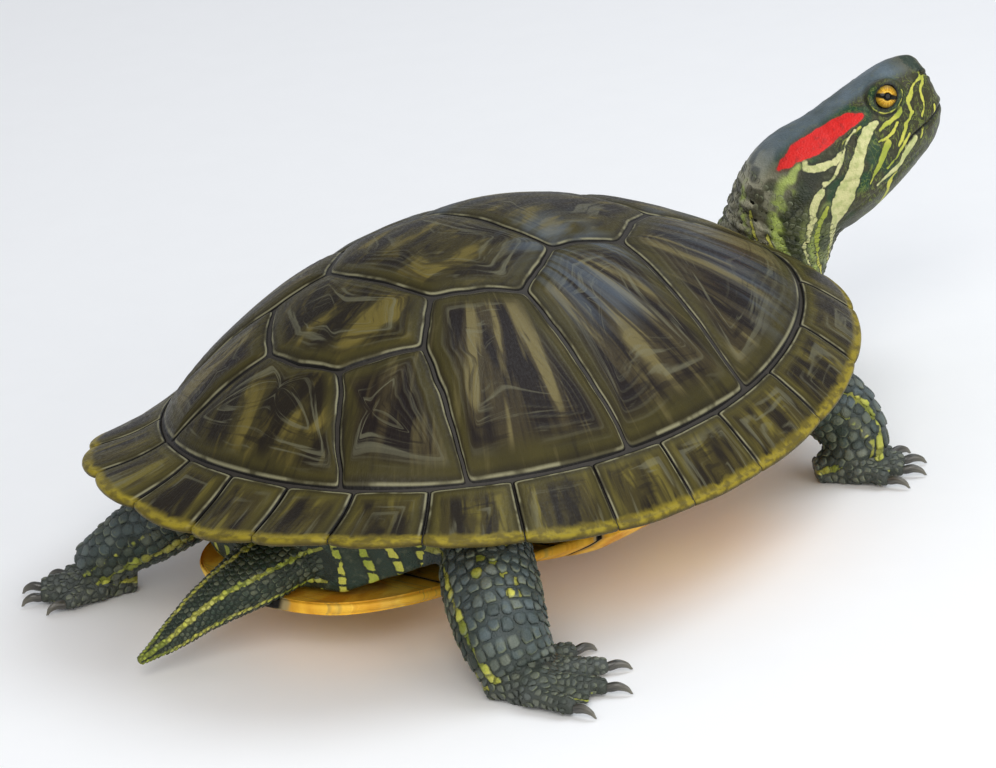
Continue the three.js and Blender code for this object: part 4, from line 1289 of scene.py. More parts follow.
def trunk_shape():
    """The body inside the shell: a dome with a floor that rises to the pockets of the limbs."""

    def below(share, angle):
        point = dome_point(angle, share)
        floor = TRUNK_FLOOR + plastron_lift(point[..., 0]) + SKIN_DEPTH
        outside = np.abs(point[..., 1]) - plastron_half_width(point[..., 0]) + POCKET_START
        point[..., 2] = floor + np.maximum(outside, 0) * POCKET_SLOPE
        return point

    def above(share, depth, angle):
        return dome_point(angle, share) - (0, 0, depth + SKIN_DEPTH)

    angle = circle(TRUNK_SIDES)
    narrower = SKIN_DEPTH / HALF_WIDTH
    rings = [above(share, TRUNK_DEPTH, angle) for share in (0.3, 0.6)]
    rings.append(above(0.8 - narrower, TRUNK_DEPTH - 1, angle))
    rings.append(above(0.84 - narrower, TRUNK_DEPTH, angle))
    rings += [below(share, angle) for share in (0.8 - narrower, 0.5, 0.25)]
    apex = (DOME_SHIFT, 0, RIM_HEIGHT + DOME_HEIGHT - TRUNK_DEPTH - SKIN_DEPTH)
    return ring_solid(rings, apex, (DOME_SHIFT, 0, TRUNK_FLOOR + SKIN_DEPTH))


def ball(at, radii, turn):
    polar, around = np.pi * np.arange(1, BALL_RINGS)[:, None] / BALL_RINGS, circle(BALL_SIDES)
    out = columns(np.sin(polar) * np.cos(around), np.sin(polar) * np.sin(around), np.cos(polar))
    points, faces = ring_solid(out, (0, 0, 1), (0, 0, -1))
    return points * radii @ np.asarray(turn).T + at, faces


# ---- places on the body ----------------------------------------------------------------------


TUBE_REACH = 1.35  # a point further out than this many radii is on the trunk
BOX_MARGIN = 1.5
BLOCK = 20000  # points that are compared with a line at once


class Places:
    """For points on the skin: the tube that each belongs to, its row, angle and distance along."""

    def __init__(self, points):
        points = np.asarray(points, float)
        count = len(points)
        best = np.full(count, TUBE_REACH)
        self.tube = np.full(count, -1)
        self.row, self.angle, self.along, self.upward = (np.zeros(count) for _ in range(4))
        self.radius = np.ones(count)
        for number, tube in enumerate(TUBES.values()):
            low = tube.centres.min(0) - tube.w.max() * BOX_MARGIN
            high = tube.centres.max(0) + tube.w.max() * BOX_MARGIN
            near = np.nonzero(((points > low) & (points < high)).all(1))[0]
            if not len(near):
                continue
            nearest = self.nearest_row(tube, points[near])
            out = points[near] - tube.centres[nearest]
            u = (out * tube.side[nearest]).sum(1) / tube.w[nearest]
            v = (out * tube.up[nearest]).sum(1) / tube.h[nearest]
            beyond = np.abs((out * tube.tangent[nearest]).sum(1)) / tube.h[nearest]
            reach = np.sqrt(u**2 + v**2 + beyond**2)
            better = reach < best[near]
            chosen = near[better]
            best[chosen] = reach[better]
            self.tube[chosen] = number
            self.row[chosen] = nearest[better]
            self.angle[chosen] = np.arctan2(v, u)[better]
            self.along[chosen] = tube.length[nearest[better]]
            self.radius[chosen] = np.linalg.norm(out[better], axis=1)
            self.upward[chosen] = unit(out[better])[:, 2]
        self.points = points

    @staticmethod
    def nearest_row(tube, points):
        nearest = np.empty(len(points), int)
        for start in range(0, len(points), BLOCK):
            rows = slice(start, start + BLOCK)
            apart = ((points[rows, None] - tube.centres) ** 2).sum(-1)
            nearest[rows] = apart.argmin(1)
        return nearest

    def on(self, prefix):
        numbers = [i for i, name in enumerate(TUBE_NAMES) if name.startswith(prefix)]
        return np.isin(self.tube, numbers)


LINE_LEAD = 12  # the middle line starts this far ahead of the snout
LINE_BLEND = 3.0  # places near a bend of the middle line share its rows over this distance


def head_middle(x):
    """The height of the middle of the head at x."""
    return np.interp(-x, [0, 8, 44], [2.0, 0.5, -2.2])


def middle_line():
    """Down the middle of head and neck: places, distances from the snout, up and forward axes."""
    x = np.arange(LINE_LEAD, -HEAD_LENGTH, -1.0)
    head = in_shell(columns(x, 0, head_middle(x)))
    neck = TUBES["neck"].centres
    start = int(np.argmin(np.abs(in_head(neck)[:, 0] + HEAD_LENGTH)))
    centres = np.vstack([head, neck[:start][::-1]])
    length = path_length(centres) - LINE_LEAD
    share = smooth(length, HEAD_LENGTH - 10, HEAD_LENGTH + 45)[:, None]
    up = unit(lerp(HEAD_TURN[:, 2], np.array([-0.3, 0, 1.0]), share))
    return centres, length, up, unit(np.gradient(centres, axis=0))


MIDDLE_LINE = middle_line()


def head_place(points):
    """Distance s behind the snout, and height as degrees: 90 at the crown, -90 below the chin."""
    centres, length, ups, forwards = MIDDLE_LINE
    own = in_head(points)
    s, raised, aside = np.empty((3, len(points)))
    for start in range(0, len(points), BLOCK):
        rows = slice(start, start + BLOCK)
        apart = np.sqrt(((points[rows, None] - centres) ** 2).sum(-1))
        weight = np.exp(-(apart - apart.min(1, keepdims=True)) / LINE_BLEND)
        weight /= weight.sum(1, keepdims=True)
        s[rows] = weight @ length
        offset = points[rows] - weight @ centres
        forward, up = unit(weight @ forwards), weight @ ups
        offset = offset - (offset * forward).sum(1)[:, None] * forward
        up = unit(up - (up * forward).sum(1)[:, None] * forward)
        raised[rows] = (offset * up).sum(1)
        aside[rows] = np.linalg.norm(offset - raised[rows, None] * up, axis=1)
    exact = smooth(own[:, 0], -HEAD_LENGTH + 2, -HEAD_LENGTH + 14) * smooth(own[:, 2], -23, -18)
    s = lerp(s, np.maximum(-own[:, 0], 0), exact)
    raised = lerp(raised, own[:, 2] - head_middle(own[:, 0]), exact)
    aside = lerp(aside, np.abs(own[:, 1]), exact)
    return s, np.degrees(np.arctan2(raised, aside)), np.hypot(raised, aside)


# ---- markings --------------------------------------------------------------------------------

# Stripes on the head and neck as (s, height in degrees), with half widths from end to end
RED_STRIPES = [
    (
        [(25.5, 29), (29.8, 33.6), (34.6, 35.2), (38.7, 36), (41.9, 39), (45, 41)],
        (1.0, 2.8, 3.3, 3.4, 3.1, 1.5),
    )
]
PALE_STRIPES = [
    (
        [(22.4, 12.6), (26, 10.8), (29.6, 4.3), (33.1, -4.9), (36.2, -14.8), (40.5, -23.7)],
        (0.7, 1.5, 1.7, 1.8, 2.1, 3.3),
    ),
    (
        [(40.5, -23.7), (43.9, -29.5), (48.3, -38.4), (56, -48.8), (66, -52)],
        (3.3, 2.8, 1.6, 0.8, 0.3),
    ),
    ([(43, 28), (43.5, 21.4), (42.1, 14.4), (37.8, 8), (35.4, 10.5)], (0.3, 0.7, 0.9, 0.8, 0.3)),
    ([(28.9, 19.5), (33.5, 14.2), (36.8, 2.6), (39.8, -2.1), (42.9, -0.7)], (0.2, 0.3, 0.45, 0.55)),
    (
        [(44.9, -3.8), (47.8, -6.9), (51.3, -13.5), (57.1, -14), (62.6, -10), (90, -12)]
        + [(118, -14)],
        (1.05, 1.05, 0.8, 0.6, 0.5, 0.5, 0.5),
    ),
    (
        [(14.5, -32.2), (18.9, -34), (22.3, -37.8), (27.2, -38.8), (30.7, -38.9)],
        (0.6, 1.2, 0.8, 0.5, 0.2),
    ),
    ([(6, -90), (20, -90)], (0.9, 1.2)),
    ([(20, -90), (27, -81), (40, -75), (60, -73), (118, -72)], (0.9, 1.2)),
]
YELLOW_STRIPES = [
    ([(22.4, -10.1), (26.1, -15.5), (29.8, -23.9), (32.8, -31.8)], (0.7, 1.0, 0.6, 0.25)),
    ([(13.6, 12.8), (15.8, 5.5), (19.9, 5.9), (22.9, 3.7)], (0.4, 0.65, 0.5, 0.3)),
    ([(11.3, -5.2), (14.8, -9.1), (17.1, -15.7), (19.8, -20.8)], (0.4, 0.55, 0.5, 0.35)),
    ([(3, 62), (3.3, 38), (7.8, 25.4), (10.7, 10.8), (11.6, -3.8)], (0.25, 0.3, 0.35, 0.35)),
    ([(2.2, 50), (2.9, 31.8), (5.6, 11.8), (6.8, -10.7), (9, -19.6)], (0.25, 0.3, 0.35, 0.3)),
    ([(3.7, -32.2), (5.7, -39.3), (9.7, -34.5), (12.3, -38.5)], (0.3, 0.35, 0.35, 0.3)),
    ([(24, -42), (26.2, -45.9), (29.1, -59.9), (32, -74)], (0.3, 0.5, 0.7, 0.4)),
    ([(27.2, 18.6), (32.9, 17.3), (35.3, 13.3)], (0.2, 0.25)),
    ([(17, -2), (21, -6), (25, -4)], (0.25, 0.3)),
    ([(16, -21), (21, -27), (26, -31)], (0.25, 0.35)),
    ([(62, 30), (76, 26), (90, 22), (118, 18)], (0.3, 0.7)),
    ([(58, 48), (72, 44), (90, 40), (118, 36)], (0.3, 0.6)),
    ([(46, -18), (50, -22), (58, -24), (66, -26), (90, -28), (118, -30)], (0.5, 0.8, 0.6)),
    ([(56, -46), (72, -50), (118, -54)], (0.5, 0.9)),
]
NECK_GREEN = [
    (
        [(44, 27), (47.7, 24.4), (51.8, 20), (58.3, 18), (80, 12), (118, 8)],
        (1.6, 2.6, 2.4, 2.0, 2.0, 2.0),
    ),
    (
        [(46, -18), (50.3, -21), (56.2, -20), (62, -18), (90, -20), (118, -22)],
        (0.9, 1.2, 1.2, 1.0, 1.0),
    ),
    ([(52, 66), (60, 60), (80, 54), (118, 50)], (0.8, 1.4, 1.2)),
]
NECK_DARK = [([(44, 12), (49.9, 7), (55.8, 4), (70, 2), (118, -2)], (2.0, 2.8, 2.2, 1.6))]
FAR = 3.0  # the stripes' distances stop here


def stripe_distance(s, height, radius, stripes):
    """Millimetres from the nearest stripe's edge, less than 0 inside it."""
    best = np.full(len(s), FAR)
    scale = np.clip(radius, 3, 18) * math.pi / 180
    for corners, widths in stripes:
        corners = np.asarray(corners, float)
        t = np.linspace(0, 1, 6 * (len(corners) - 1) + 1)
        path = columns(*(along(corners[:, k], t) for k in (0, 1)))
        half = np.interp(t, np.linspace(0, 1, len(widths)), widths)
        for i in range(len(path) - 1):
            du, dv = path[i + 1, 0] - path[i, 0], (path[i + 1, 1] - path[i, 1]) * scale
            u, v = s - path[i, 0], (height - path[i, 1]) * scale
            share = np.clip((u * du + v * dv) / np.maximum(du**2 + dv**2, 1e-6), 0, 1)
            apart = np.hypot(u - share * du, v - share * dv)
            best = np.minimum(best, apart - lerp(half[i], half[i + 1], share))
    return best


LEG_STRIPES = [(0, 1.35, 0.0), (38, 0.4, 0.3)]  # turn, half width and share of the leg it starts at
THIGH_DOT_RADIUS = 1.05
THIGH_DOTS = [  # share of the leg's length, and angle round it
    (0.5, -2.99),
    (0.55, -2.88),
    (0.525, 3.05),
    (0.575, 2.86),
    (0.6, 2.63),
    (0.65, 2.83),
    (0.65, 2.6),
    (0.43, 3.0),
    (0.45, 2.7),
]


def leg_marks(places, name, foot):
    """Signed distance to the yellow marks of one leg: stripes along it, and dots on the thigh."""
    tube = TUBES["leg_" + name]
    on = places.on("leg_" + name)
    row = places.row[on].astype(int)
    out = places.points[on] - tube.centres[row]
    toward = unit(np.asarray(foot["stripe_side"], float))
    best = np.full(on.sum(), FAR)
    share = places.row[on] / (len(tube.w) - 1)
    for turn, half, first in LEG_STRIPES:
        turned = np.array(Matrix.Rotation(math.radians(turn), 3, Vector(tube.tangent[20]))) @ toward
        flat = turned - (tube.tangent[row] @ turned)[:, None] * tube.tangent[row]
        ahead = (out * unit(flat)).sum(1)
        aside = np.linalg.norm(out - ahead[:, None] * unit(flat), axis=1)
        wavy = half * (0.8 + 0.3 * np.sin(places.along[on] * 0.55 + turn))
        here = np.where(ahead > 0, aside - wavy, FAR) + 3 * (share < first)
        best = np.minimum(best, here)
    if name == "hind_right":
        for at, angle in THIGH_DOTS:
            centre = tube.surface(np.array([at * (len(tube.w) - 1)]), np.array([angle]))[0]
            apart = np.linalg.norm(places.points[on] - centre, axis=1)
            best = np.minimum(best, apart - THIGH_DOT_RADIUS)
    return on, best


def tint(*display):
    return np.array(srgb(*display)[:3])


def painted(colour, *layers):
    """The colour with others laid over it, each a share at every point and a colour."""
    for share, over in layers:
        colour = lerp(colour, over, share[:, None])
    return colour


def head_marks(points, s, height, radius):
    """Signed distances to the stripes of head and neck, and the colour under them."""
    # the painted edges are a little uneven
    wavy = s + 0.6 * noise(points, 6, 61) + 0.3 * noise(points, 2, 63)
    wavy_height = height + 2.0 * noise(points, 7, 62) + 1.2 * noise(points, 2.4, 64)
    ragged = 0.25 * noise(points, 3, 65)

    def distance(stripes):
        return stripe_distance(wavy, wavy_height, radius, stripes)

    marks = {
        "pale": distance(PALE_STRIPES) + ragged,
        "yellow": distance(YELLOW_STRIPES) + ragged,
        "red": distance(RED_STRIPES) + ragged,
    }
    upper = smooth(height, 8, 34)
    green = smooth(noise(points, 5, 71), -0.1, 0.35) * smooth(s, 6, 16)
    wrinkles = smooth(noise(points * (1, 1, 2), 3.5, 72), -0.25, 0.3)
    mottle = smooth(noise(points, 3, 73), -0.2, 0.3)
    speckles = smooth(distance(NECK_GREEN), 1.2, -1.2) * smooth(noise(points, 1.9, 74), -0.3, 0.2)
    crown = painted(tint(92, 106, 114), (1 - smooth(s, 3, 11), tint(80, 78, 56)))
    nape = painted(tint(88, 84, 66), (wrinkles, tint(176, 172, 146)))
    low_neck = painted(tint(62, 72, 40), (mottle, tint(128, 138, 76)))
    colour = painted(
        tint(52, 50, 26),
        (green, tint(22, 62, 32)),
        (smooth(height, 44, 60), crown),
        (smooth(s, 42, 54) * upper, nape),
        (smooth(s, 44, 56) * (1 - upper), low_neck),
        (0.9 * speckles, tint(178, 196, 100)),
        (0.85 * smooth(distance(NECK_DARK), 1.4, -1.0), tint(26, 30, 18)),
        # painted shade: the chin's under side is a plain dark olive-grey for the shade below the
        # jaw
        (0.9 * smooth(-height, 42, 56), tint(58, 60, 42)),
    )
    return marks, colour


def sole_stripe(places, on, turn):
    """Signed distance to the stripe along the edge of one foot."""
    turned = places.angle[on] - math.radians(turn)
    aside = np.abs((turned + np.pi) % (2 * np.pi) - np.pi) * places.radius[on]
    return aside - 0.9 - 0.3 * noise(places.points[on], 3, 67)


def tail_stripes(angle, radius):
    """Six stripes run along the tail."""
    bars = np.abs((np.degrees(angle) + 360) % 60 - 30) / 60 * 2 * np.pi
    return bars * np.maximum(radius, 2) / 6 - 0.75


def trunk_dashes(points):
    """Short upright bars on the skin of the pockets between shell and plastron."""
    around = np.degrees(np.arctan2(points[:, 1], points[:, 0]))
    bars = np.abs((around + 1.2 * noise(points, 12, 31) + 360) % 4.4 - 2.2) * 1.5 - 0.95
    dashes = np.abs((points[:, 2] + 1.2 * noise(points, 5, 32)) % 3.6 - 1.8) - 1.35
    return np.maximum(np.maximum(bars, dashes), -1)


def limb_colours(points, upward):
    # painted light and shade: the upper side is painted a lit blue-grey, the under side a shaded
    # dark green
    upper = smooth(upward, -0.25, 0.65) * 0.8 + 0.2 * smooth(noise(points, 9, 66), -0.4, 0.4)
    low = 0.75 * smooth(points[:, 2], 16, 4)
    return painted(tint(30, 50, 38), (upper, tint(88, 100, 102)), (low, tint(96, 100, 94)))


def markings(points):
    """The stripes' signed distances with the colour under them, and each point's place."""
    places = Places(points)
    s, height, radius = head_place(points)
    marks = {key: np.full(len(points), FAR) for key in ("pale", "yellow", "red")}
    yellow = marks["yellow"]
    colour = np.tile(tint(36, 52, 40), (len(points), 1))
    head = places.on("head") | places.on("neck")
    stripes, colour[head] = head_marks(points[head], s[head], height[head], radius[head])
    for key, distance in stripes.items():
        marks[key][head] = distance
    for name, foot in LEGS.items():
        on, distance = leg_marks(places, name, foot)
        yellow[on] = distance
        on = places.on("pad_" + name)
        yellow[on] = np.minimum(sole_stripe(places, on, foot["sole_stripe"]), FAR)
    tail, trunk = places.on("tail"), places.tube < 0
    yellow[tail] = np.minimum(tail_stripes(places.angle[tail], places.radius[tail]), FAR)
    yellow[trunk] = np.minimum(trunk_dashes(points[trunk]), FAR)
    limb = places.on("toe") | places.on("pad") | places.on("leg")
    colour[limb] = limb_colours(points[limb], places.upward[limb])
    return marks | {"base": colour}, places, s, height

# ---- one skin over all the flesh -------------------------------------------------------------

TUBE_SIDES = 36
HIDDEN_LOSS = 0.93  # share of the hidden skin's faces that is left out
HEAD_BELOW = -24  # the head's frame takes in what is above this and within HEAD_ASIDE
HEAD_ASIDE = 22
SKIN_CLEARANCE = 0.5

def loose_mesh(points, faces):
    mesh = bpy.data.meshes.new("flesh")
    mesh.from_pydata(np.asarray(points).tolist(), [], faces)
    return mesh


def closed_out(shape):
    """The same closed shape with its faces turned outwards."""
    points, faces = shape
    mesh = loose_mesh(points, faces)
    if signed_volume(mesh) < 0:
        faces = [face[::-1] for face in faces]
    bpy.data.meshes.remove(mesh)
    return points, faces


def modified(mesh, add_modifiers):
    """The mesh after modifiers."""
    piece = bpy.data.objects.new("flesh", mesh)
    bpy.context.scene.collection.objects.link(piece)
    add_modifiers(piece)
    evaluated = piece.evaluated_get(bpy.context.evaluated_depsgraph_get())
    result = bpy.data.meshes.new_from_object(evaluated)
    bpy.data.objects.remove(piece)
    bpy.data.meshes.remove(mesh)
    return result


def hidden_share(points):
    """1 deep inside the shell, 0 where the skin can be seen."""
    _, share = dome_place(points[:, 0], points[:, 1])
    return 1 - smooth(share, 0.6, 0.72)


def remeshed_flesh():
    """Trunk, tubes and lids as one closed mesh, coarse where the shell hides it."""
    shapes = [trunk_shape()]
    shapes += [ring_solid(tube.rings(TUBE_SIDES)) for tube in TUBES.values()]
    for side in (1, -1):
        at = in_shell(EYE_AT * (1, side, 1))
        shapes.append(ball(at, np.array(LID_SIZE) - SKIN_DEPTH, HEAD_TURN))
    points, faces = merged([closed_out(shape) for shape in shapes])
    mesh = loose_mesh(points / 1000, faces)

    def remesh(piece):
        modifier = piece.modifiers.new("remesh", "REMESH")
        modifier.mode = "VOXEL"
        modifier.voxel_size = VOXEL / 1000

    mesh = modified(mesh, remesh)

    def thin_out(piece):
        points = vertex_array(piece.data) * 1000
        hidden = hidden_share(points)
        group = piece.vertex_groups.new(name="hidden")
        for level in (0.5, 1.0):
            chosen = np.nonzero(hidden > level - 0.3)[0]
            group.add(chosen.tolist(), level, "REPLACE")
        share = float((hidden > 0.5).mean())
        modifier = piece.modifiers.new("decimate", "DECIMATE")
        modifier.ratio = 1 - HIDDEN_LOSS * share
        modifier.vertex_group = "hidden"

    return modified(mesh, thin_out)


def near_head(own):
    return (np.abs(own[:, 1]) < HEAD_ASIDE) & (own[:, 2] > HEAD_BELOW)


def with_fine_head(mesh):
    """Splits the head's faces into four, for its folds, lids and nostrils."""
    bm = bmesh.new()
    bm.from_mesh(mesh)
    own = in_head(vertex_array(mesh) * 1000)
    fine = (own[:, 0] > -HEAD_LENGTH + 3) & near_head(own)
    bm.verts.ensure_lookup_table()
    edges = [e for e in bm.edges if fine[e.verts[0].index] and fine[e.verts[1].index]]
    bmesh.ops.subdivide_edges(bm, edges=edges, cuts=1, use_grid_fill=True)
    bm.to_mesh(mesh)
    bm.free()
    return mesh


class Surface:
    """Arrays of a mesh's points and triangles in millimetres, with normals and smoothing."""

    def __init__(self, mesh):
        self.triangles = triangle_array(mesh)
        self.points = vertex_array(mesh) * 1000
        self.edges = read_array(mesh.edges, "vertices", 2, np.int32)
        self.degree = np.bincount(self.edges.ravel(), minlength=len(self.points))[:, None]

    def neighbours_mean(self, values):
        a, b = self.edges.T
        total = np.zeros_like(values)
        for k in range(values.shape[1]):
            total[:, k] = np.bincount(a, values[b, k], len(values))
            total[:, k] += np.bincount(b, values[a, k], len(values))
        return total / self.degree

    def relax(self, rounds, weight=None):
        """Moves each point half way to its neighbours' mean, that many times."""
        for _ in range(rounds):
            step = 0.5 * (self.neighbours_mean(self.points) - self.points)
            self.points += step if weight is None else step * weight[:, None]

    def normals(self):
        a, b, c = self.points[self.triangles].transpose(1, 0, 2)
        across = np.cross(b - a, c - a)
        total = np.zeros_like(self.points)
        for corner in range(3):
            at = self.triangles[:, corner]
            for k in range(3):
                total[:, k] += np.bincount(at, across[:, k], len(total))
        return unit(total)

    def tree(self):
        return BVHTree.FromPolygons(self.points.tolist(), self.triangles.tolist())


def shell_tree(*starts):
    """A ray tree of the shell's pieces whose names start so, in the shell's millimetres."""
    points, triangles, first = [], [], 0
    for piece in bpy.context.scene.objects:
        if piece.type != "MESH" or not piece.name.startswith(starts):
            continue
        surface = Surface(piece.data)
        points.append(surface.points - ORIGIN_SHIFT)
        triangles.append(surface.triangles + first)
        first += len(surface.points)
    return BVHTree.FromPolygons(np.vstack(points).tolist(), np.vstack(triangles).tolist())


def keep_clear_of_shell(points):
    """Pushes the skin down from the rim's under side and up from the plastron's upper side."""
    _, share = dome_place(points[:, 0], points[:, 1])
    rim, plastron = shell_tree("horn_marginals"), shell_tree(*PLASTRON_PIECES)
    up, down = Vector((0, 0, 1)), Vector((0, 0, -1))
    for i in np.nonzero((share > 0.84) & (share < 1.12) & (points[:, 2] > 24))[0]:
        hit = rim.ray_cast(Vector((points[i, 0], points[i, 1], -5)), up)[0]
        above = rim.ray_cast(Vector((points[i, 0], points[i, 1], 200)), down)[0]
        over_the_rim = above is not None and points[i, 0] > 90 and points[i, 2] > above.z
        if hit is not None and not over_the_rim:
            points[i, 2] = min(points[i, 2], hit.z - SKIN_CLEARANCE)
    inside = (np.abs(points[:, 0]) < PLASTRON_HALF_LENGTH) & (points[:, 2] < 34) & (share < 0.95)
    for i in np.nonzero(inside)[0]:
        hit = plastron.ray_cast(Vector((points[i, 0], points[i, 1], 60)), down)[0]
        if hit is not None:
            points[i, 2] = max(points[i, 2], hit.z + SKIN_CLEARANCE)
    return points


# ---- folds of the skin -----------------------------------------------------------------------

EYE_OPENING = np.array([3.45, 3.0])  # along the head and up
EYE_TILT = 0.12
GLOBE_RADIUS = EYE_RADIUS - 0.6  # what lies over the eye sinks to this radius
LID_THICKNESS = 0.42
LID_REACH = 1.75  # the lids' edges end at this many times the opening
MOUTH_CORNER = 18
NOSTRIL_START = 1.9
NOSTRIL_LENGTH = 3.1
SOLE_GAP = 0.05


def mouth_height(x):
    """The gape's height: it droops a little to the rear, and a notch parts the beak in front."""
    return MOUTH_Z + 0.052 * x - 1.1 * smooth(-x, 1, 8) - 1.3 * smooth(-x, 13, 19) ** 2


def nostril_distance(own):
    """Millimetres from a nostril, a short slot round the snout's corner."""
    out = np.abs(own[:, 1])
    share = np.clip((out - NOSTRIL_START) / NOSTRIL_LENGTH, 0, 1)
    slot = columns(-2.3 * share**2, NOSTRIL_START + NOSTRIL_LENGTH * share, 4.8 + 2.2 * share)
    return np.linalg.norm(columns(own[:, 0], out, own[:, 2]) - slot, axis=1)


def head_relief(own):
    """How far the head's details stand out of the smooth head, by place in the head's frame."""
    x, z, out = own[:, 0], own[:, 2], np.abs(own[:, 1])
    # the gape between its lips
    line = z - mouth_height(x) - 0.8 * bell(out, 1.6) * smooth(x, -5, -1)
    gape = smooth(x, -MOUTH_CORNER - 1.5, -MOUTH_CORNER + 1)
    relief = -0.95 * bell(line, 0.36) * gape
    relief += 0.32 * bell(line - 1.2, 0.85) * gape + 0.15 * bell(line + 1.4, 0.9) * gape
    # the nostrils and their rims
    nostril = nostril_distance(own)
    relief -= 1.5 * (1 - smooth(nostril, 0.4, 1.0))
    relief += 0.25 * bell(nostril - 1.4, 0.45)
    # folds round the eye: two below it, the lids' swelling and one above it
    forward, above = x - EYE_AT[0], z - EYE_AT[2]
    eye = np.hypot(forward / 1.16, above)
    folds = -0.38 * bell(eye - 5.1, 0.42) * smooth(-above - 0.3 * forward, -3, 2)
    folds -= 0.26 * bell(eye - 6.2, 0.35) * smooth(-above, -1, 2)
    folds += 0.3 * bell(eye - 4.3, 0.5)
    folds -= 0.3 * bell(eye - 5.4, 0.5) * smooth(above, 0, 3)
    relief += folds * (out > 6.5)
    # the eardrum, the fold of the cheek and the edge of the jaw
    ear = np.hypot(x + 27.5, z + 0.5)
    relief += (-0.3 * bell(ear - 4.6, 0.6) + 0.12 * bell(ear, 3)) * (out > 8)
    cheek = np.abs(np.hypot(x + 36, z + 1) - 6.5)
    relief -= 0.4 * bell(cheek, 0.45) * smooth(-z, -4, 3) * smooth(-x, 33, 36) * (out > 8)
    jaw = z - (-12.5 + 0.16 * (x + 20))
    relief -= 0.28 * bell(jaw, 0.5) * smooth(-x, 8, 16) * (out > 5)
    relief += 0.16 * noise(own, 4.5, 41) + 0.08 * noise(own, 1.8, 42)
    return relief


def eye_opening(own):
    """How far a place is from the eye's middle, as a share of the opening between the lids."""
    x, z = own[:, 0] - EYE_AT[0], own[:, 2] - EYE_AT[2]
    return np.hypot(x / EYE_OPENING[0], (z - EYE_TILT * x) / EYE_OPENING[1])


def eye_pits(own):
    """Opens the lids: what lies over the eye sinks behind it, and the lids' edges stand over it."""
    own = own.copy()
    side, out = np.sign(own[:, 1]), np.abs(own[:, 1])
    flat = (own[:, 0] - EYE_AT[0]) ** 2 + (own[:, 2] - EYE_AT[2]) ** 2
    share = eye_opening(own)
    near = out > EYE_AT[1] - 2
    globe = EYE_AT[1] + np.sqrt(GLOBE_RADIUS**2 - np.minimum(flat, GLOBE_RADIUS**2))
    lid = EYE_AT[1] + np.sqrt(np.maximum(EYE_RADIUS**2 - flat, 4)) + LID_THICKNESS
    inside = (share < 1) & near
    own[inside, 1] = (side * globe)[inside]
    edge = (share >= 1) & (share < LID_REACH) & near
    raised = lerp(out, np.maximum(lid, out), smooth(share, LID_REACH, 1.2))
    own[edge, 1] = (side * raised)[edge]
    return own, share


def body_relief(points, places, s, height):
    """Folds of neck, limbs and pockets."""
    relief = 0.12 * noise(points, 3.2, 51) + 0.06 * noise(points, 1.3, 52)
    # rings round the neck, deep on its nape, and loose folds at the collar
    neck = places.on("neck")
    wobble = 2.6 * noise(points, 11, 53) + 0.9 * noise(points, 4, 54)
    folds = np.sin((s + wobble) * 2 * np.pi / 4.6)
    deep = smooth(s, HEAD_LENGTH, 62) * lerp(0.18, 0.5, smooth(height, 10, 60))
    collar = smooth(s, 84, 110)
    loose = collar * 0.9 * np.sin((s + wobble) * 2 * np.pi / 9.5)
    relief += neck * (deep * np.minimum(folds, 0.35) + loose)
    # creases across the legs
    limb = places.on("leg")
    folds = np.sin((places.along + wobble) * 2 * np.pi / 5.2)
    relief += limb * 0.26 * np.minimum(folds, 0.3) * (0.4 + 0.6 * smooth(points[:, 2], 12, 26))
    trunk = places.tube < 0
    relief += trunk * 0.5 * noise(points * (1, 1, 0.5), 7, 55)
    return relief


def build_skin_surface():
    """The skin's mesh, with its unwrap made before the small forms are raised."""
    mesh = with_fine_head(remeshed_flesh())
    surface = Surface(mesh)
    surface.relax(5)
    own = in_head(surface.points)
    surface.relax(4, weight=(own[:, 0] > -HEAD_LENGTH).astype(float))
    surface.points = keep_clear_of_shell(surface.points)
    surface.relax(1)
    write_points(mesh, surface)
    piece = bpy.data.objects.new("skin", mesh)
    bpy.context.scene.collection.objects.link(piece)
    unwrap(piece)
    return piece, surface


def unwrap(piece):
    """Islands by direction on the still smooth skin."""
    piece.data.uv_layers.new(name="OFBake")
    bpy.context.view_layer.objects.active = piece
    bpy.ops.object.select_all(action="DESELECT")
    piece.select_set(True)
    bpy.ops.object.mode_set(mode="EDIT")
    bpy.ops.mesh.select_all(action="SELECT")
    bpy.ops.uv.smart_project(angle_limit=math.radians(66), island_margin=0.002)
    bpy.ops.object.mode_set(mode="OBJECT")


def raise_details(surface):
    """Raises the small forms along the normals, and opens the lids."""
    places = Places(surface.points)
    s, height, _ = head_place(surface.points)
    own = in_head(surface.points)
    on_head = smooth(own[:, 0], -HEAD_LENGTH - 4, -HEAD_LENGTH + 4) * near_head(own)
    on_body = body_relief(surface.points, places, s, height)
    relief = on_head * head_relief(own) + (1 - on_head) * on_body
    surface.points += surface.normals() * relief[:, None]
    opened, share = eye_pits(in_head(surface.points))
    near = (on_head > 0.5) & (share < LID_REACH)
    surface.points[near] = in_shell(opened[near])
    surface.points[:, 2] = np.maximum(surface.points[:, 2], SOLE_GAP)


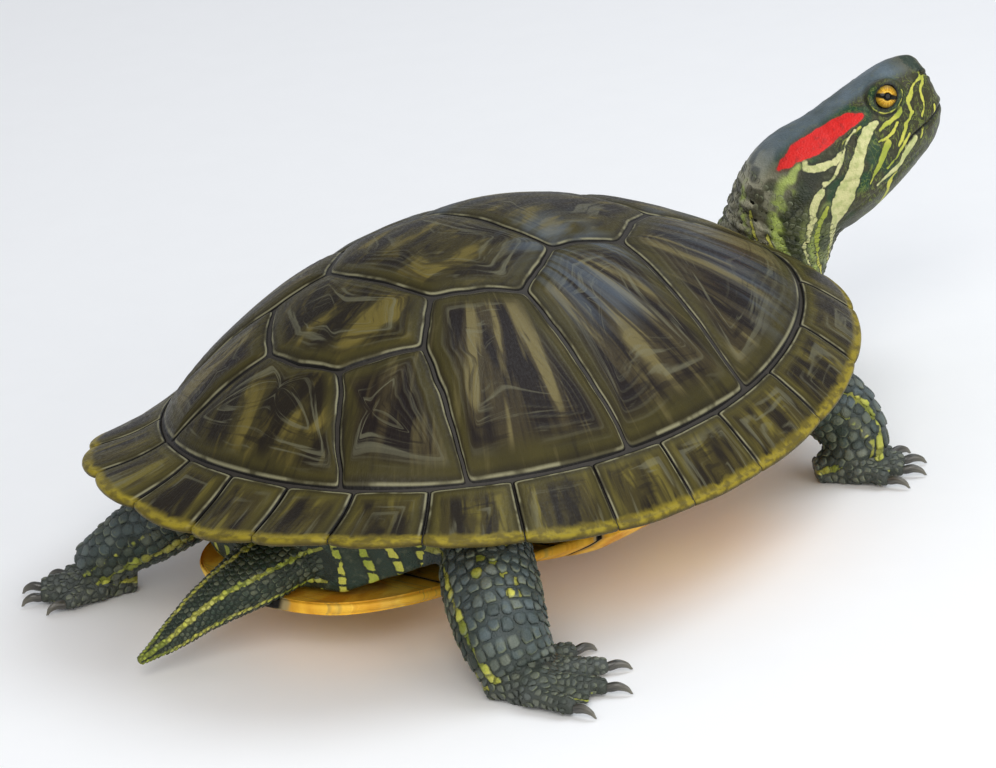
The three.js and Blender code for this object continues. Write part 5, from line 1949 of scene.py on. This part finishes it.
def mark(mesh, points):
    """Gives the skin's mesh the markings, and painted shade in the mouth's line, the nostrils,
    round the lids and in the crease below the eye.
    """
    marks, places, s, height = markings(points)
    own = in_head(points)
    beside_eye = (np.abs(own[:, 1]) > 7) & (own[:, 0] > -26)
    lid = np.where(beside_eye, eye_opening(own), 9)
    line = np.abs(own[:, 2] - mouth_height(own[:, 0]))
    gape = smooth(own[:, 0], -MOUTH_CORNER - 1, -MOUTH_CORNER + 1) * (own[:, 0] > -25)
    forward, above = own[:, 0] - EYE_AT[0], own[:, 2] - EYE_AT[2]
    ring = np.hypot(forward / 1.16, above)
    below = smooth(-above - 0.3 * forward, -2.5, 0.5) * (lid < 8)
    # painted shade: dark in the lids' opening, the mouth's line, the nostrils and the crease below
    # the eye
    painted_shade = [
        1 - smooth(lid, 1.05, 1.32),
        gape * (1 - smooth(line, 0.2, 0.6)),
        1 - smooth(nostril_distance(own), 0.7, 1.15),
        0.9 * bell(ring - 5.15, 0.3) * below,
    ]
    lid_ring = np.where((below > 0.5) & (ring < 5), np.abs(ring - 4.45) - 0.1, FAR)
    face = smooth(s, 46, 34) * smooth(height, 62, 40) * smooth(height, -88, -60)
    covered = places.on("leg") | places.on("pad") | places.on("toe") | places.on("tail")
    marks["yellow"] = np.minimum(marks["yellow"], lid_ring)
    marks["face"] = face * places.on("head")
    # painted shade of the mouth, nostrils, lids and the crease below the eye
    marks["dark"] = np.max(painted_shade, 0)
    # painted shade on the skin under and between the scales
    marks["groove_shade"] = np.where(covered, 0.55, 0.0) + 0.05 * places.on("neck")
    for key, values in marks.items():
        set_attribute(mesh, key, values)


def with_stripes(shader, colour, broad, fine):
    """The colour under crisp stripes with dark rims, by their signed distances."""
    ragged = shader.product(shader.math("SUBTRACT", fine, 0.5), 1.1)
    black = srgb(20, 28, 16)
    yellow = shader.mix(shader.step(broad, 0.4, 0.6), srgb(204, 202, 84), srgb(158, 170, 58))
    pale = shader.mix(shader.step(fine, 0.4, 0.65), srgb(206, 204, 146), srgb(176, 182, 118))
    red = shader.mix(shader.step(fine, 0.5, 0.72), srgb(214, 26, 22), srgb(176, 26, 24))
    for key, inner, rim, share in [
        ("yellow", yellow, black, 0.85),
        ("pale", pale, black, 0.93),
        ("red", red, srgb(96, 64, 50), 0.96),
    ]:
        distance = shader.math("ADD", shader.attribute(key), ragged)
        colour = shader.layered(
            colour,
            (shader.step(distance, 0.75, 0.2, 0, 0.6), rim),
            (shader.step(distance, 0.16, -0.16, 0, share), inner),
        )
    return colour


def skin_material(name, scaled):
    """Skin or its scales: a region's colour under the stripes, with painted shade in grooves and
    hollows, and a painted highlight on some scales.
    """
    shader = Shader(name)
    place_at = shader.position()
    broad = shader.noise(place_at, 90.0, 3.0)
    fine = shader.noise(place_at, 520.0, 3.0)
    colour = shader.layered(
        shader.attribute("base", "Vector"),
        (shader.step(broad, 0.35, 0.7, 0, 0.5), srgb(40, 48, 30)),
        (shader.step(fine, 0.5, 0.72, 0, 0.3), srgb(104, 108, 82)),
    )
    if scaled:
        colour = with_stripes(shader, colour, broad, fine)
        tone = shader.attribute("tone")
        layers = [
            (shader.step(tone, 0.5, 1.0, 0, 0.3), srgb(128, 130, 104)),
            (shader.step(tone, 0.5, 0.0, 0, 0.45), srgb(30, 36, 24)),
            # painted highlight on the front of some scales
            (shader.attribute("scale_highlight"), srgb(150, 158, 122)),
            # painted shade at the scales' rims
            (shader.attribute("groove_shade"), srgb(18, 22, 14)),
        ]
    else:
        veins = shader.noise(shader.stretched(place_at, (1.0, 1.0, 0.55)), 330.0, 2.0, 1.6)
        veins = shader.step(shader.off(veins, 0.5), 0.035, 0.008)
        veins = shader.product(shader.product(veins, shader.attribute("face")), 0.45)
        colour = shader.mix(veins, colour, srgb(122, 136, 54))
        colour = with_stripes(shader, colour, broad, fine)
        layers = [
            # painted shade on the skin between the scales
            (shader.attribute("groove_shade"), srgb(22, 26, 17)),
            # painted shade in the mouth, nostrils, lids and the crease below the eye
            (shader.attribute("dark"), srgb(12, 14, 11)),
        ]
    shader.set(Base_Color=shader.layered(colour, *layers))
    cells = shader.step(shader.cells(place_at, 1150.0), 0.0, 0.35)
    normal = shader.bump(cells, 0.00016, 0.5, shader.bump(fine, 0.00035, 0.6))
    grit = shader.noise(place_at, 1500.0, 2.0)
    shader.set(Normal=shader.bump(grit, 0.00008, 0.5, normal))
    shader.set(Roughness=shader.step(broad, 0.3, 0.7, 0.4, 0.56))
    shader.set(Coat_Weight=0.04, Coat_Roughness=0.3, Specular_IOR_Level=0.3)
    return shader.material

# ---- scales ----------------------------------------------------------------------------------

SCALE_SIDES = 10
TURN = circle(SCALE_SIDES)
SCALE_ROWS = [(1.0, -0.35, 0.0), (1.0, 0.45, 0.1), (0.62, 1.0, 0.0)]  # reach, lift, inwards
POINTS_PER_SCALE = SCALE_SIDES * len(SCALE_ROWS) + 1
ROW_SPACING = 0.84  # of a scale's size
LEAST_APART = 0.62
SKIN_REACH = 2.6  # a scale's root is left out where the skin is further from its tube
TOE_END = 1.2
PATCH = 0.0015  # half the width of a scale's patch in the OFBake map
FLOOR_GAP = 0.03  # no scale reaches lower than this above the floor


def scale_size(name, share):
    """Width of a scale on that tube, at that share of its length."""
    if name == "neck":
        return 1.75
    if name == "tail":
        return 2.1 - 0.9 * share
    if name.startswith("toe"):
        return 2.05
    if name.startswith("pad"):
        return 2.5
    grown = 1.0 if "hind" in name else 1.05
    return grown * lerp(2.3, 3.3, smooth(share, 0.2, 0.6))


def scale_seeds(name, tube, tree, random):
    """Roots in staggered rows round a tube, where the skin follows it: points, lie and size."""
    seeds = []
    last = len(tube.w) - 1
    at, row_number = 0.0, 0
    end = tube.length[-1] - (TOE_END if name.startswith("toe") else 0)
    while at < end:
        row = float(np.interp(at, tube.length, np.arange(last + 1)))
        size = float(scale_size(name, row / last))
        w, h = tube.at(tube.w, row), tube.at(tube.h, row)
        # the girth of an ellipse
        around = math.pi * (3 * (w + h) - math.sqrt((3 * w + h) * (w + 3 * h)))
        count = max(int(around / size), 5)
        start = (row_number % 2) / 2
        angles = 2 * np.pi * (np.arange(count) + start + random.uniform(-0.2, 0.2, count)) / count
        rows = row + random.uniform(-0.18, 0.18, count) * size * last / tube.length[-1]
        for point in tube.surface(np.clip(rows, 0, last), angles):
            found, normal, face, _ = tree.find_nearest(Vector(point), SKIN_REACH)
            if found is not None:
                seeds.append((*found, *normal, *tube.tangent[int(row)], size, face))
        at += size * ROW_SPACING
        row_number += 1
    return seeds


def thinned(seeds):
    """Seeds of several tubes with those too close to earlier ones left out."""
    kept, cells = [], {}
    for seed in seeds:
        cell = tuple(int(value // 3.5) for value in seed[:3])
        near = [
            other
            for step in np.ndindex(3, 3, 3)
            for other in cells.get(tuple(c + d - 1 for c, d in zip(cell, step)), ())
        ]
        limit = (LEAST_APART * seed[9]) ** 2
        if all(sum((a - b) ** 2 for a, b in zip(seed[:3], other[:3])) > limit for other in near):
            cells.setdefault(cell, []).append(seed)
            kept.append(seed)
    return kept


def visible_seeds(seeds):
    seeds = np.array(seeds)
    _, share = dome_place(seeds[:, 0], seeds[:, 1])
    hidden = (share < 0.8) & (seeds[:, 2] > 15)
    under = (seeds[:, 2] < 0.6) | ((seeds[:, 5] < -0.93) & (seeds[:, 2] < 2))
    return seeds[~hidden & ~under]


def build_scales(name, slot, prefixes, surface, tree, skin, material, height):
    """One joined coat: a low plate at each root that fills the room between its neighbours."""
    random = np.random.default_rng(len(name))
    seeds = []
    for key in sorted(TUBES, key=lambda key: not key.startswith("toe")):
        if key.startswith(prefixes):
            seeds += scale_seeds(key, TUBES[key], tree, random)
    seeds = visible_seeds(thinned(seeds))
    on_neck = name == "neck_scales"
    if on_neck:
        seeds = seeds[head_place(seeds[:, :3])[0] > HEAD_LENGTH + 6]
    root, points = scale_points(seeds, tree, height)
    count = len(seeds)
    tone = np.repeat(random.uniform(0, 1, count), POINTS_PER_SCALE)
    tone = 0.5 + 0.4 * tone if on_neck else tone
    # painted highlight: a pale sheen on the front of the middle ring of some scales
    lit = random.uniform(0, 1, count)[:, None] > 0.55
    scale_highlight = np.zeros(points.shape[:2])
    scale_highlight[:, SCALE_SIDES : 2 * SCALE_SIDES] = 0.7 * np.maximum(np.cos(TURN), 0) * lit
    # painted shade: the scales' rims darken towards the skin between them
    groove_shade = np.repeat([1.0, 0.45, 0.0], SCALE_SIDES)
    groove_shade = np.tile([*groove_shade, 0.0], count)
    flat = points.reshape(-1, 3)
    marks = markings(np.repeat(root, POINTS_PER_SCALE, 0) * 0.5 + flat * 0.5)[0]
    marks |= {"tone": tone, "groove_shade": groove_shade, "scale_highlight": scale_highlight.ravel()}
    piece = new_object(name, flat, scale_faces(count), marks)
    bake_patches(piece.data, skin, seeds[:, 10].astype(int), root, surface)
    place(piece, material, slot)


def scale_points(seeds, tree, height):
    """The roots, and the points of every scale: three rings and a crown."""
    root, normal, lie, size = seeds[:, :3], unit(seeds[:, 3:6]), seeds[:, 6:9], seeds[:, 9]
    lie = unit(lie - (lie * normal).sum(1)[:, None] * normal)
    across = np.cross(normal, lie)
    reach = cell_reach(root, lie, across, size)
    ahead = np.cos(TURN)
    out = lie[:, None] * ahead[None, :, None] + across[:, None] * np.sin(TURN)[None, :, None]
    gap = 0.07 + 0.008 * size[:, None]
    tall = (0.13 * size * height)[:, None]
    rows = []
    for share, lift, inwards in SCALE_ROWS:
        far = np.maximum(reach - gap, 0.3) * share - inwards
        points = (root[:, None] + out * far[..., None]).reshape(-1, 3)
        on_skin = np.array([tree.find_nearest(Vector(point))[0] for point in points])
        raised = tall * lift + 0.09 * size[:, None] * ahead[None] * (lift > 0) * share
        rows.append(on_skin.reshape(out.shape) + normal[:, None] * raised[..., None])
    crown = root + normal * (tall * 1.05)
    points = np.concatenate([*rows, crown[:, None]], 1)
    points[..., 2] = np.maximum(points[..., 2], FLOOR_GAP)
    return root, points


def cell_reach(root, lie, across, size):
    """How far each scale reaches in each direction before it meets its neighbours."""
    finder = KDTree(len(root))
    for i, point in enumerate(root):
        finder.insert(Vector(point), i)
    finder.balance()
    found = [finder.find_n(Vector(point), 13)[1:] for point in root]
    near = np.array([[index for _, index, _ in others] for others in found])
    offset = root[near] - root[:, None]
    u = (offset * lie[:, None]).sum(-1)
    v = (offset * across[:, None]).sum(-1)
    toward = u[..., None] * np.cos(TURN) + v[..., None] * np.sin(TURN)
    apart = (u**2 + v**2)[..., None]
    reach = np.where(toward > 0.05, apart / (2 * np.maximum(toward, 0.05)), 99).min(1)
    return np.minimum(reach, 0.8 * size[:, None])


def scale_faces(count):
    sides = SCALE_SIDES
    i = np.arange(sides)
    following = (i + 1) % sides
    quads = columns(i, following, sides + following, sides + i)
    quads = np.concatenate([quads, quads + sides])
    top = columns(2 * sides + i, 2 * sides + following, 3 * sides)
    faces = []
    for start in POINTS_PER_SCALE * np.arange(count):
        faces += (quads + start).tolist() + (top + start).tolist() + [(i[::-1] + start).tolist()]
    return faces


def bake_patches(scales, skin, face_of, root, surface):
    """Gives each scale a small patch of the skin's unwrap, at its root's place."""
    corners = read_array(skin.loop_triangles, "loops", 3, np.int32)[face_of]
    uv = read_array(skin.uv_layers["OFBake"].data, "uv", 2, np.float32)[corners]
    places = surface.points[surface.triangles[face_of]]
    weight = 1 / np.maximum(np.linalg.norm(places - root[:, None], axis=2), 1e-4)
    at = (uv * (weight / weight.sum(1, keepdims=True))[..., None]).sum(1)
    rim = columns(np.cos(TURN), np.sin(TURN)) * PATCH
    spread = np.vstack([*(rim * share for share in (1, 0.85, 0.5)), [[0, 0]]])
    patch = np.clip(at[:, None] + spread, 0.001, 0.999).reshape(-1, 2)
    loops = read_array(scales.loops, "vertex_index", 1, np.int32)[:, 0]
    layer = scales.uv_layers.new(name="OFBake")
    layer.data.foreach_set("uv", patch[loops].astype(np.float32).ravel())


# ---- eyes and claws --------------------------------------------------------------------------

EYE_BAR_TURN = 38  # the bar through the pupil stays level while the head is raised
CORNEA = 0.16  # how far the clear front stands out of the ball
CLAW_STEPS = 24
CLAW_SIDES = 16
CLAW_TIP_Z = 0.6
CLAW_GAP_BELOW = 0.1


def eye_material():
    shader = Shader("eye")
    off = shader.attribute("off_axis")
    around = shader.attribute("around", "Vector")
    rays = shader.noise(shader.stretched(around, (9, 9, 1.5)), 1.0, 4.0)
    ring = shader.step(shader.off(off, 1.5), 0.0, 0.22, 0.7, 0)
    iris = shader.layered(
        shader.mix(shader.step(rays, 0.38, 0.64), srgb(168, 118, 24), srgb(222, 178, 58)),
        (shader.step(off, 1.9, 3.0, 0, 0.8), srgb(112, 92, 28)),
        (ring, srgb(236, 204, 96)),
        (shader.attribute("bar"), srgb(24, 22, 12)),
        (shader.step(off, 3.0, 3.25), srgb(20, 20, 14)),
    )
    pupil = shader.step(off, 1.28, 1.12)
    shader.set(Base_Color=shader.mix(pupil, iris, (0.002, 0.002, 0.002, 1)))
    shader.set(Roughness=0.06, Specular_IOR_Level=0.16)
    return shader.material


def build_eye(name, side, material):
    """A ball with a bulging cornea, on its mesh the distance from the axis and the level bar."""
    polar = np.concatenate([np.linspace(0, 0.8, 40)[1:], np.linspace(0.8, np.pi, 22)[1:-1]])
    polar, around = polar[:, None], circle(64)
    radius = EYE_RADIUS + CORNEA * bell(polar, 0.45)
    across, outward = radius * np.sin(polar), side * (radius * np.cos(polar))
    middle = EYE_AT * (1, side, 1)
    ball_rings = columns(across * np.cos(around), outward, across * np.sin(around))
    poles = [middle + (0, side * r, 0) for r in (radius[0, 0], -EYE_RADIUS)]
    points, faces = ring_solid(ball_rings + middle, *poles)
    x, out, z = (points - middle).T
    flat = np.hypot(x, z)
    off = np.where(out * side > 0, flat, 9)
    level = math.radians(EYE_BAR_TURN)
    wide = np.abs(z * math.cos(level) + x * math.sin(level)) - 0.42
    attributes = {
        "off_axis": off,
        "bar": 1 - smooth(wide + 0.12 * flat, 0.35, 0.75),
        "around": columns(x, z, off) / np.maximum(flat, 0.4)[:, None],
    }
    piece = new_object("eyeball_" + name, in_shell(points), faces, attributes)
    place(piece, material, "eye", "eye_" + name)


def claw_material():
    shader = Shader("claw")
    grain = shader.attribute("grain", "Vector")
    streaks = shader.noise(shader.stretched(grain, (1.4, 0.25, 1)), 1.0, 4.0)
    tip = shader.attribute("tip")
    colour = shader.layered(
        shader.mix(shader.step(streaks, 0.35, 0.65), srgb(40, 39, 35), srgb(76, 74, 67)),
        (shader.step(tip, 0.35, 1.0, 0, 0.55), srgb(122, 118, 102)),
        (shader.step(tip, 0.2, 0.0, 0, 0.7), srgb(46, 44, 36)),
    )
    shader.set(Base_Color=colour, Roughness=shader.step(streaks, 0.3, 0.7, 0.3, 0.45))
    shader.set(Normal=shader.bump(streaks, 0.0002, 0.6), Coat_Weight=0.3, Coat_Roughness=0.15)
    return shader.material


def claw_shape(root, direction, reach, length):
    """A curved claw ahead of a toe's tip; its root is a little wider than the toe's opening."""
    start = root + direction * (reach + TOE_TIP + CLAW_GAP)
    stations = [
        (-1.5, CLAW_Z - 0.1, 0.6, 0.7),
        (0, CLAW_Z, 0.72, 0.86),
        (length * 0.35, CLAW_Z + 0.3, 0.62, 0.82),
        (length * 0.74, 1.95, 0.4, 0.52),
        (length - 0.4, 0.8, 0.17, 0.22),
    ]
    rows = rows_from(start, direction, stations, CLAW_RADIUS, SKIN_DEPTH)
    rings = tube_through(rows, UPWARDS, CLAW_STEPS).rings(CLAW_SIDES)
    tip = np.array([*(start + direction * length)[:2], CLAW_TIP_Z])
    points, faces = ring_solid(rings, None, tip)
    points[:, 2] = np.maximum(points[:, 2], CLAW_GAP_BELOW)
    share = np.append(np.repeat(np.linspace(0, 1, CLAW_STEPS + 1), CLAW_SIDES), [0, 1])
    around = np.append(np.tile(circle(CLAW_SIDES) * 1.5, CLAW_STEPS + 1), [0, 0])
    return points, faces, share, columns(around, share * length, 0)


def build_claws(name, foot, material):
    shapes = [claw_shape(*toe, foot["claw"]) for toe in toe_places(foot)]
    points, faces = merged([shape[:2] for shape in shapes])
    attributes = {
        "tip": np.concatenate([shape[2] for shape in shapes]),
        "grain": np.vstack([shape[3] + (0, 0, 7 * i) for i, shape in enumerate(shapes)]),
    }
    nodes = [f"claw_{name}_{i + 1}" for i in range(len(shapes))]
    place(new_object("claws_" + name, points, faces, attributes), material, "claw", *nodes)


def write_points(mesh, surface):
    mesh.vertices.foreach_set("co", to_frame(surface.points).astype(np.float32).ravel())


def build_flesh():
    skin, surface = build_skin_surface()
    mesh = skin.data
    raise_details(surface)
    write_points(mesh, surface)
    mesh.polygons.foreach_set("use_smooth", [True] * len(mesh.polygons))
    mesh.calc_loop_triangles()
    mark(mesh, surface.points)
    nodes = ["head", "neck", "trunk", "tail", *["leg_" + name for name in LEGS]]
    place(skin, skin_material("skin", scaled=False), "limb_skin", *nodes)
    tree = surface.tree()
    scaled = skin_material("scales", scaled=True)
    for name, slot, prefixes, height in [
        ("hind_scales", "limb_skin", ("leg_hind", "pad_hind", "toe_hind"), 1.0),
        ("front_scales", "limb_skin", ("leg_front", "pad_front", "toe_front"), 1.0),
        ("tail_scales", "limb_skin", ("tail",), 1.0),
        ("neck_scales", "head_skin", ("neck",), 0.4),
    ]:
        build_scales(name, slot, prefixes, surface, tree, mesh, scaled, height)
    eye, claw = eye_material(), claw_material()
    for name, side in SIDES:
        build_eye(name, side, eye)
    for name, foot in LEGS.items():
        build_claws(name, foot, claw)

# ---- stage -----------------------------------------------------------------------------------

VIEW_TARGET = (0, 0, RIM_HEIGHT)
VIEW_DISTANCE = 1176.7
LENS = 158.1
VIEW_SHIFT = (-0.0017, 0.0314)
LIGHT_TARGET = Vector((0, 0, 0.04))
LIGHTS = [  # name, place, size, power and colour
    ("sky_light", (0.5, -0.35, 1.15), 0.9, 6.0, (0.86, 0.93, 1.0)),
    ("key_light", (-0.95, -0.75, 0.95), 0.8, 8.0, (1.0, 0.97, 0.92)),
    ("fill_light", (-0.2, -1.3, 0.35), 0.9, 7.0, (1.0, 0.98, 0.95)),
]
FLOOR_SIZE = 12
VIEW_RIGHT = Vector((0.67148, -0.73555, -0.08983))
VIEW_UP = Vector((0.32645, 0.18482, 0.92697))
VIEW_BACK = Vector((-0.66523, -0.65177, 0.36423))


def build_camera():
    data = bpy.data.cameras.new("camera")
    data.lens = LENS
    data.sensor_width = 36
    data.shift_x, data.shift_y = VIEW_SHIFT
    data.clip_end = 20
    camera = bpy.data.objects.new("camera", data)
    bpy.context.scene.collection.objects.link(camera)
    turn = Matrix((VIEW_RIGHT, VIEW_UP, VIEW_BACK)).transposed()
    place_at = Vector(to_frame(VIEW_TARGET)) + VIEW_BACK * VIEW_DISTANCE / 1000
    camera.matrix_world = Matrix.Translation(place_at) @ turn.to_4x4()
    bpy.context.scene.camera = camera


def soft_light(name, location, size, power, colour):
    data = bpy.data.lights.new(name, "AREA")
    data.shape = "DISK"
    data.size = size
    data.energy = power
    data.color = colour
    lamp = bpy.data.objects.new(name, data)
    bpy.context.scene.collection.objects.link(lamp)
    lamp.location = location
    aim = LIGHT_TARGET - Vector(location)
    lamp.rotation_euler = aim.to_track_quat("-Z", "Y").to_euler()


def build_stage():
    world = bpy.data.worlds.new("studio")
    world.use_nodes = True
    background = world.node_tree.nodes["Background"]
    background.inputs["Color"].default_value = (0.93, 0.95, 1.0, 1.0)
    background.inputs["Strength"].default_value = 0.55
    bpy.context.scene.world = world
    bpy.context.scene.view_settings.view_transform = "Standard"
    for light in LIGHTS:
        soft_light(*light)
    bpy.ops.mesh.primitive_plane_add(size=FLOOR_SIZE)
    floor = bpy.context.object
    floor.name = "studio_floor"
    shader = Shader("studio_floor")
    grain = shader.noise(shader.position(), 60.0, 2.0)
    pale = shader.mix(grain, (0.93, 0.93, 0.93, 1), (0.95, 0.95, 0.95, 1))
    shader.set(Base_Color=pale, Roughness=0.9)
    floor.data.materials.append(shader.material)


# ---- the whole model -------------------------------------------------------------------------

build_carapace()
build_seam_bed()
build_marginals()
build_rim_bed()
build_plastron()
build_flesh()
build_camera()
build_stage()
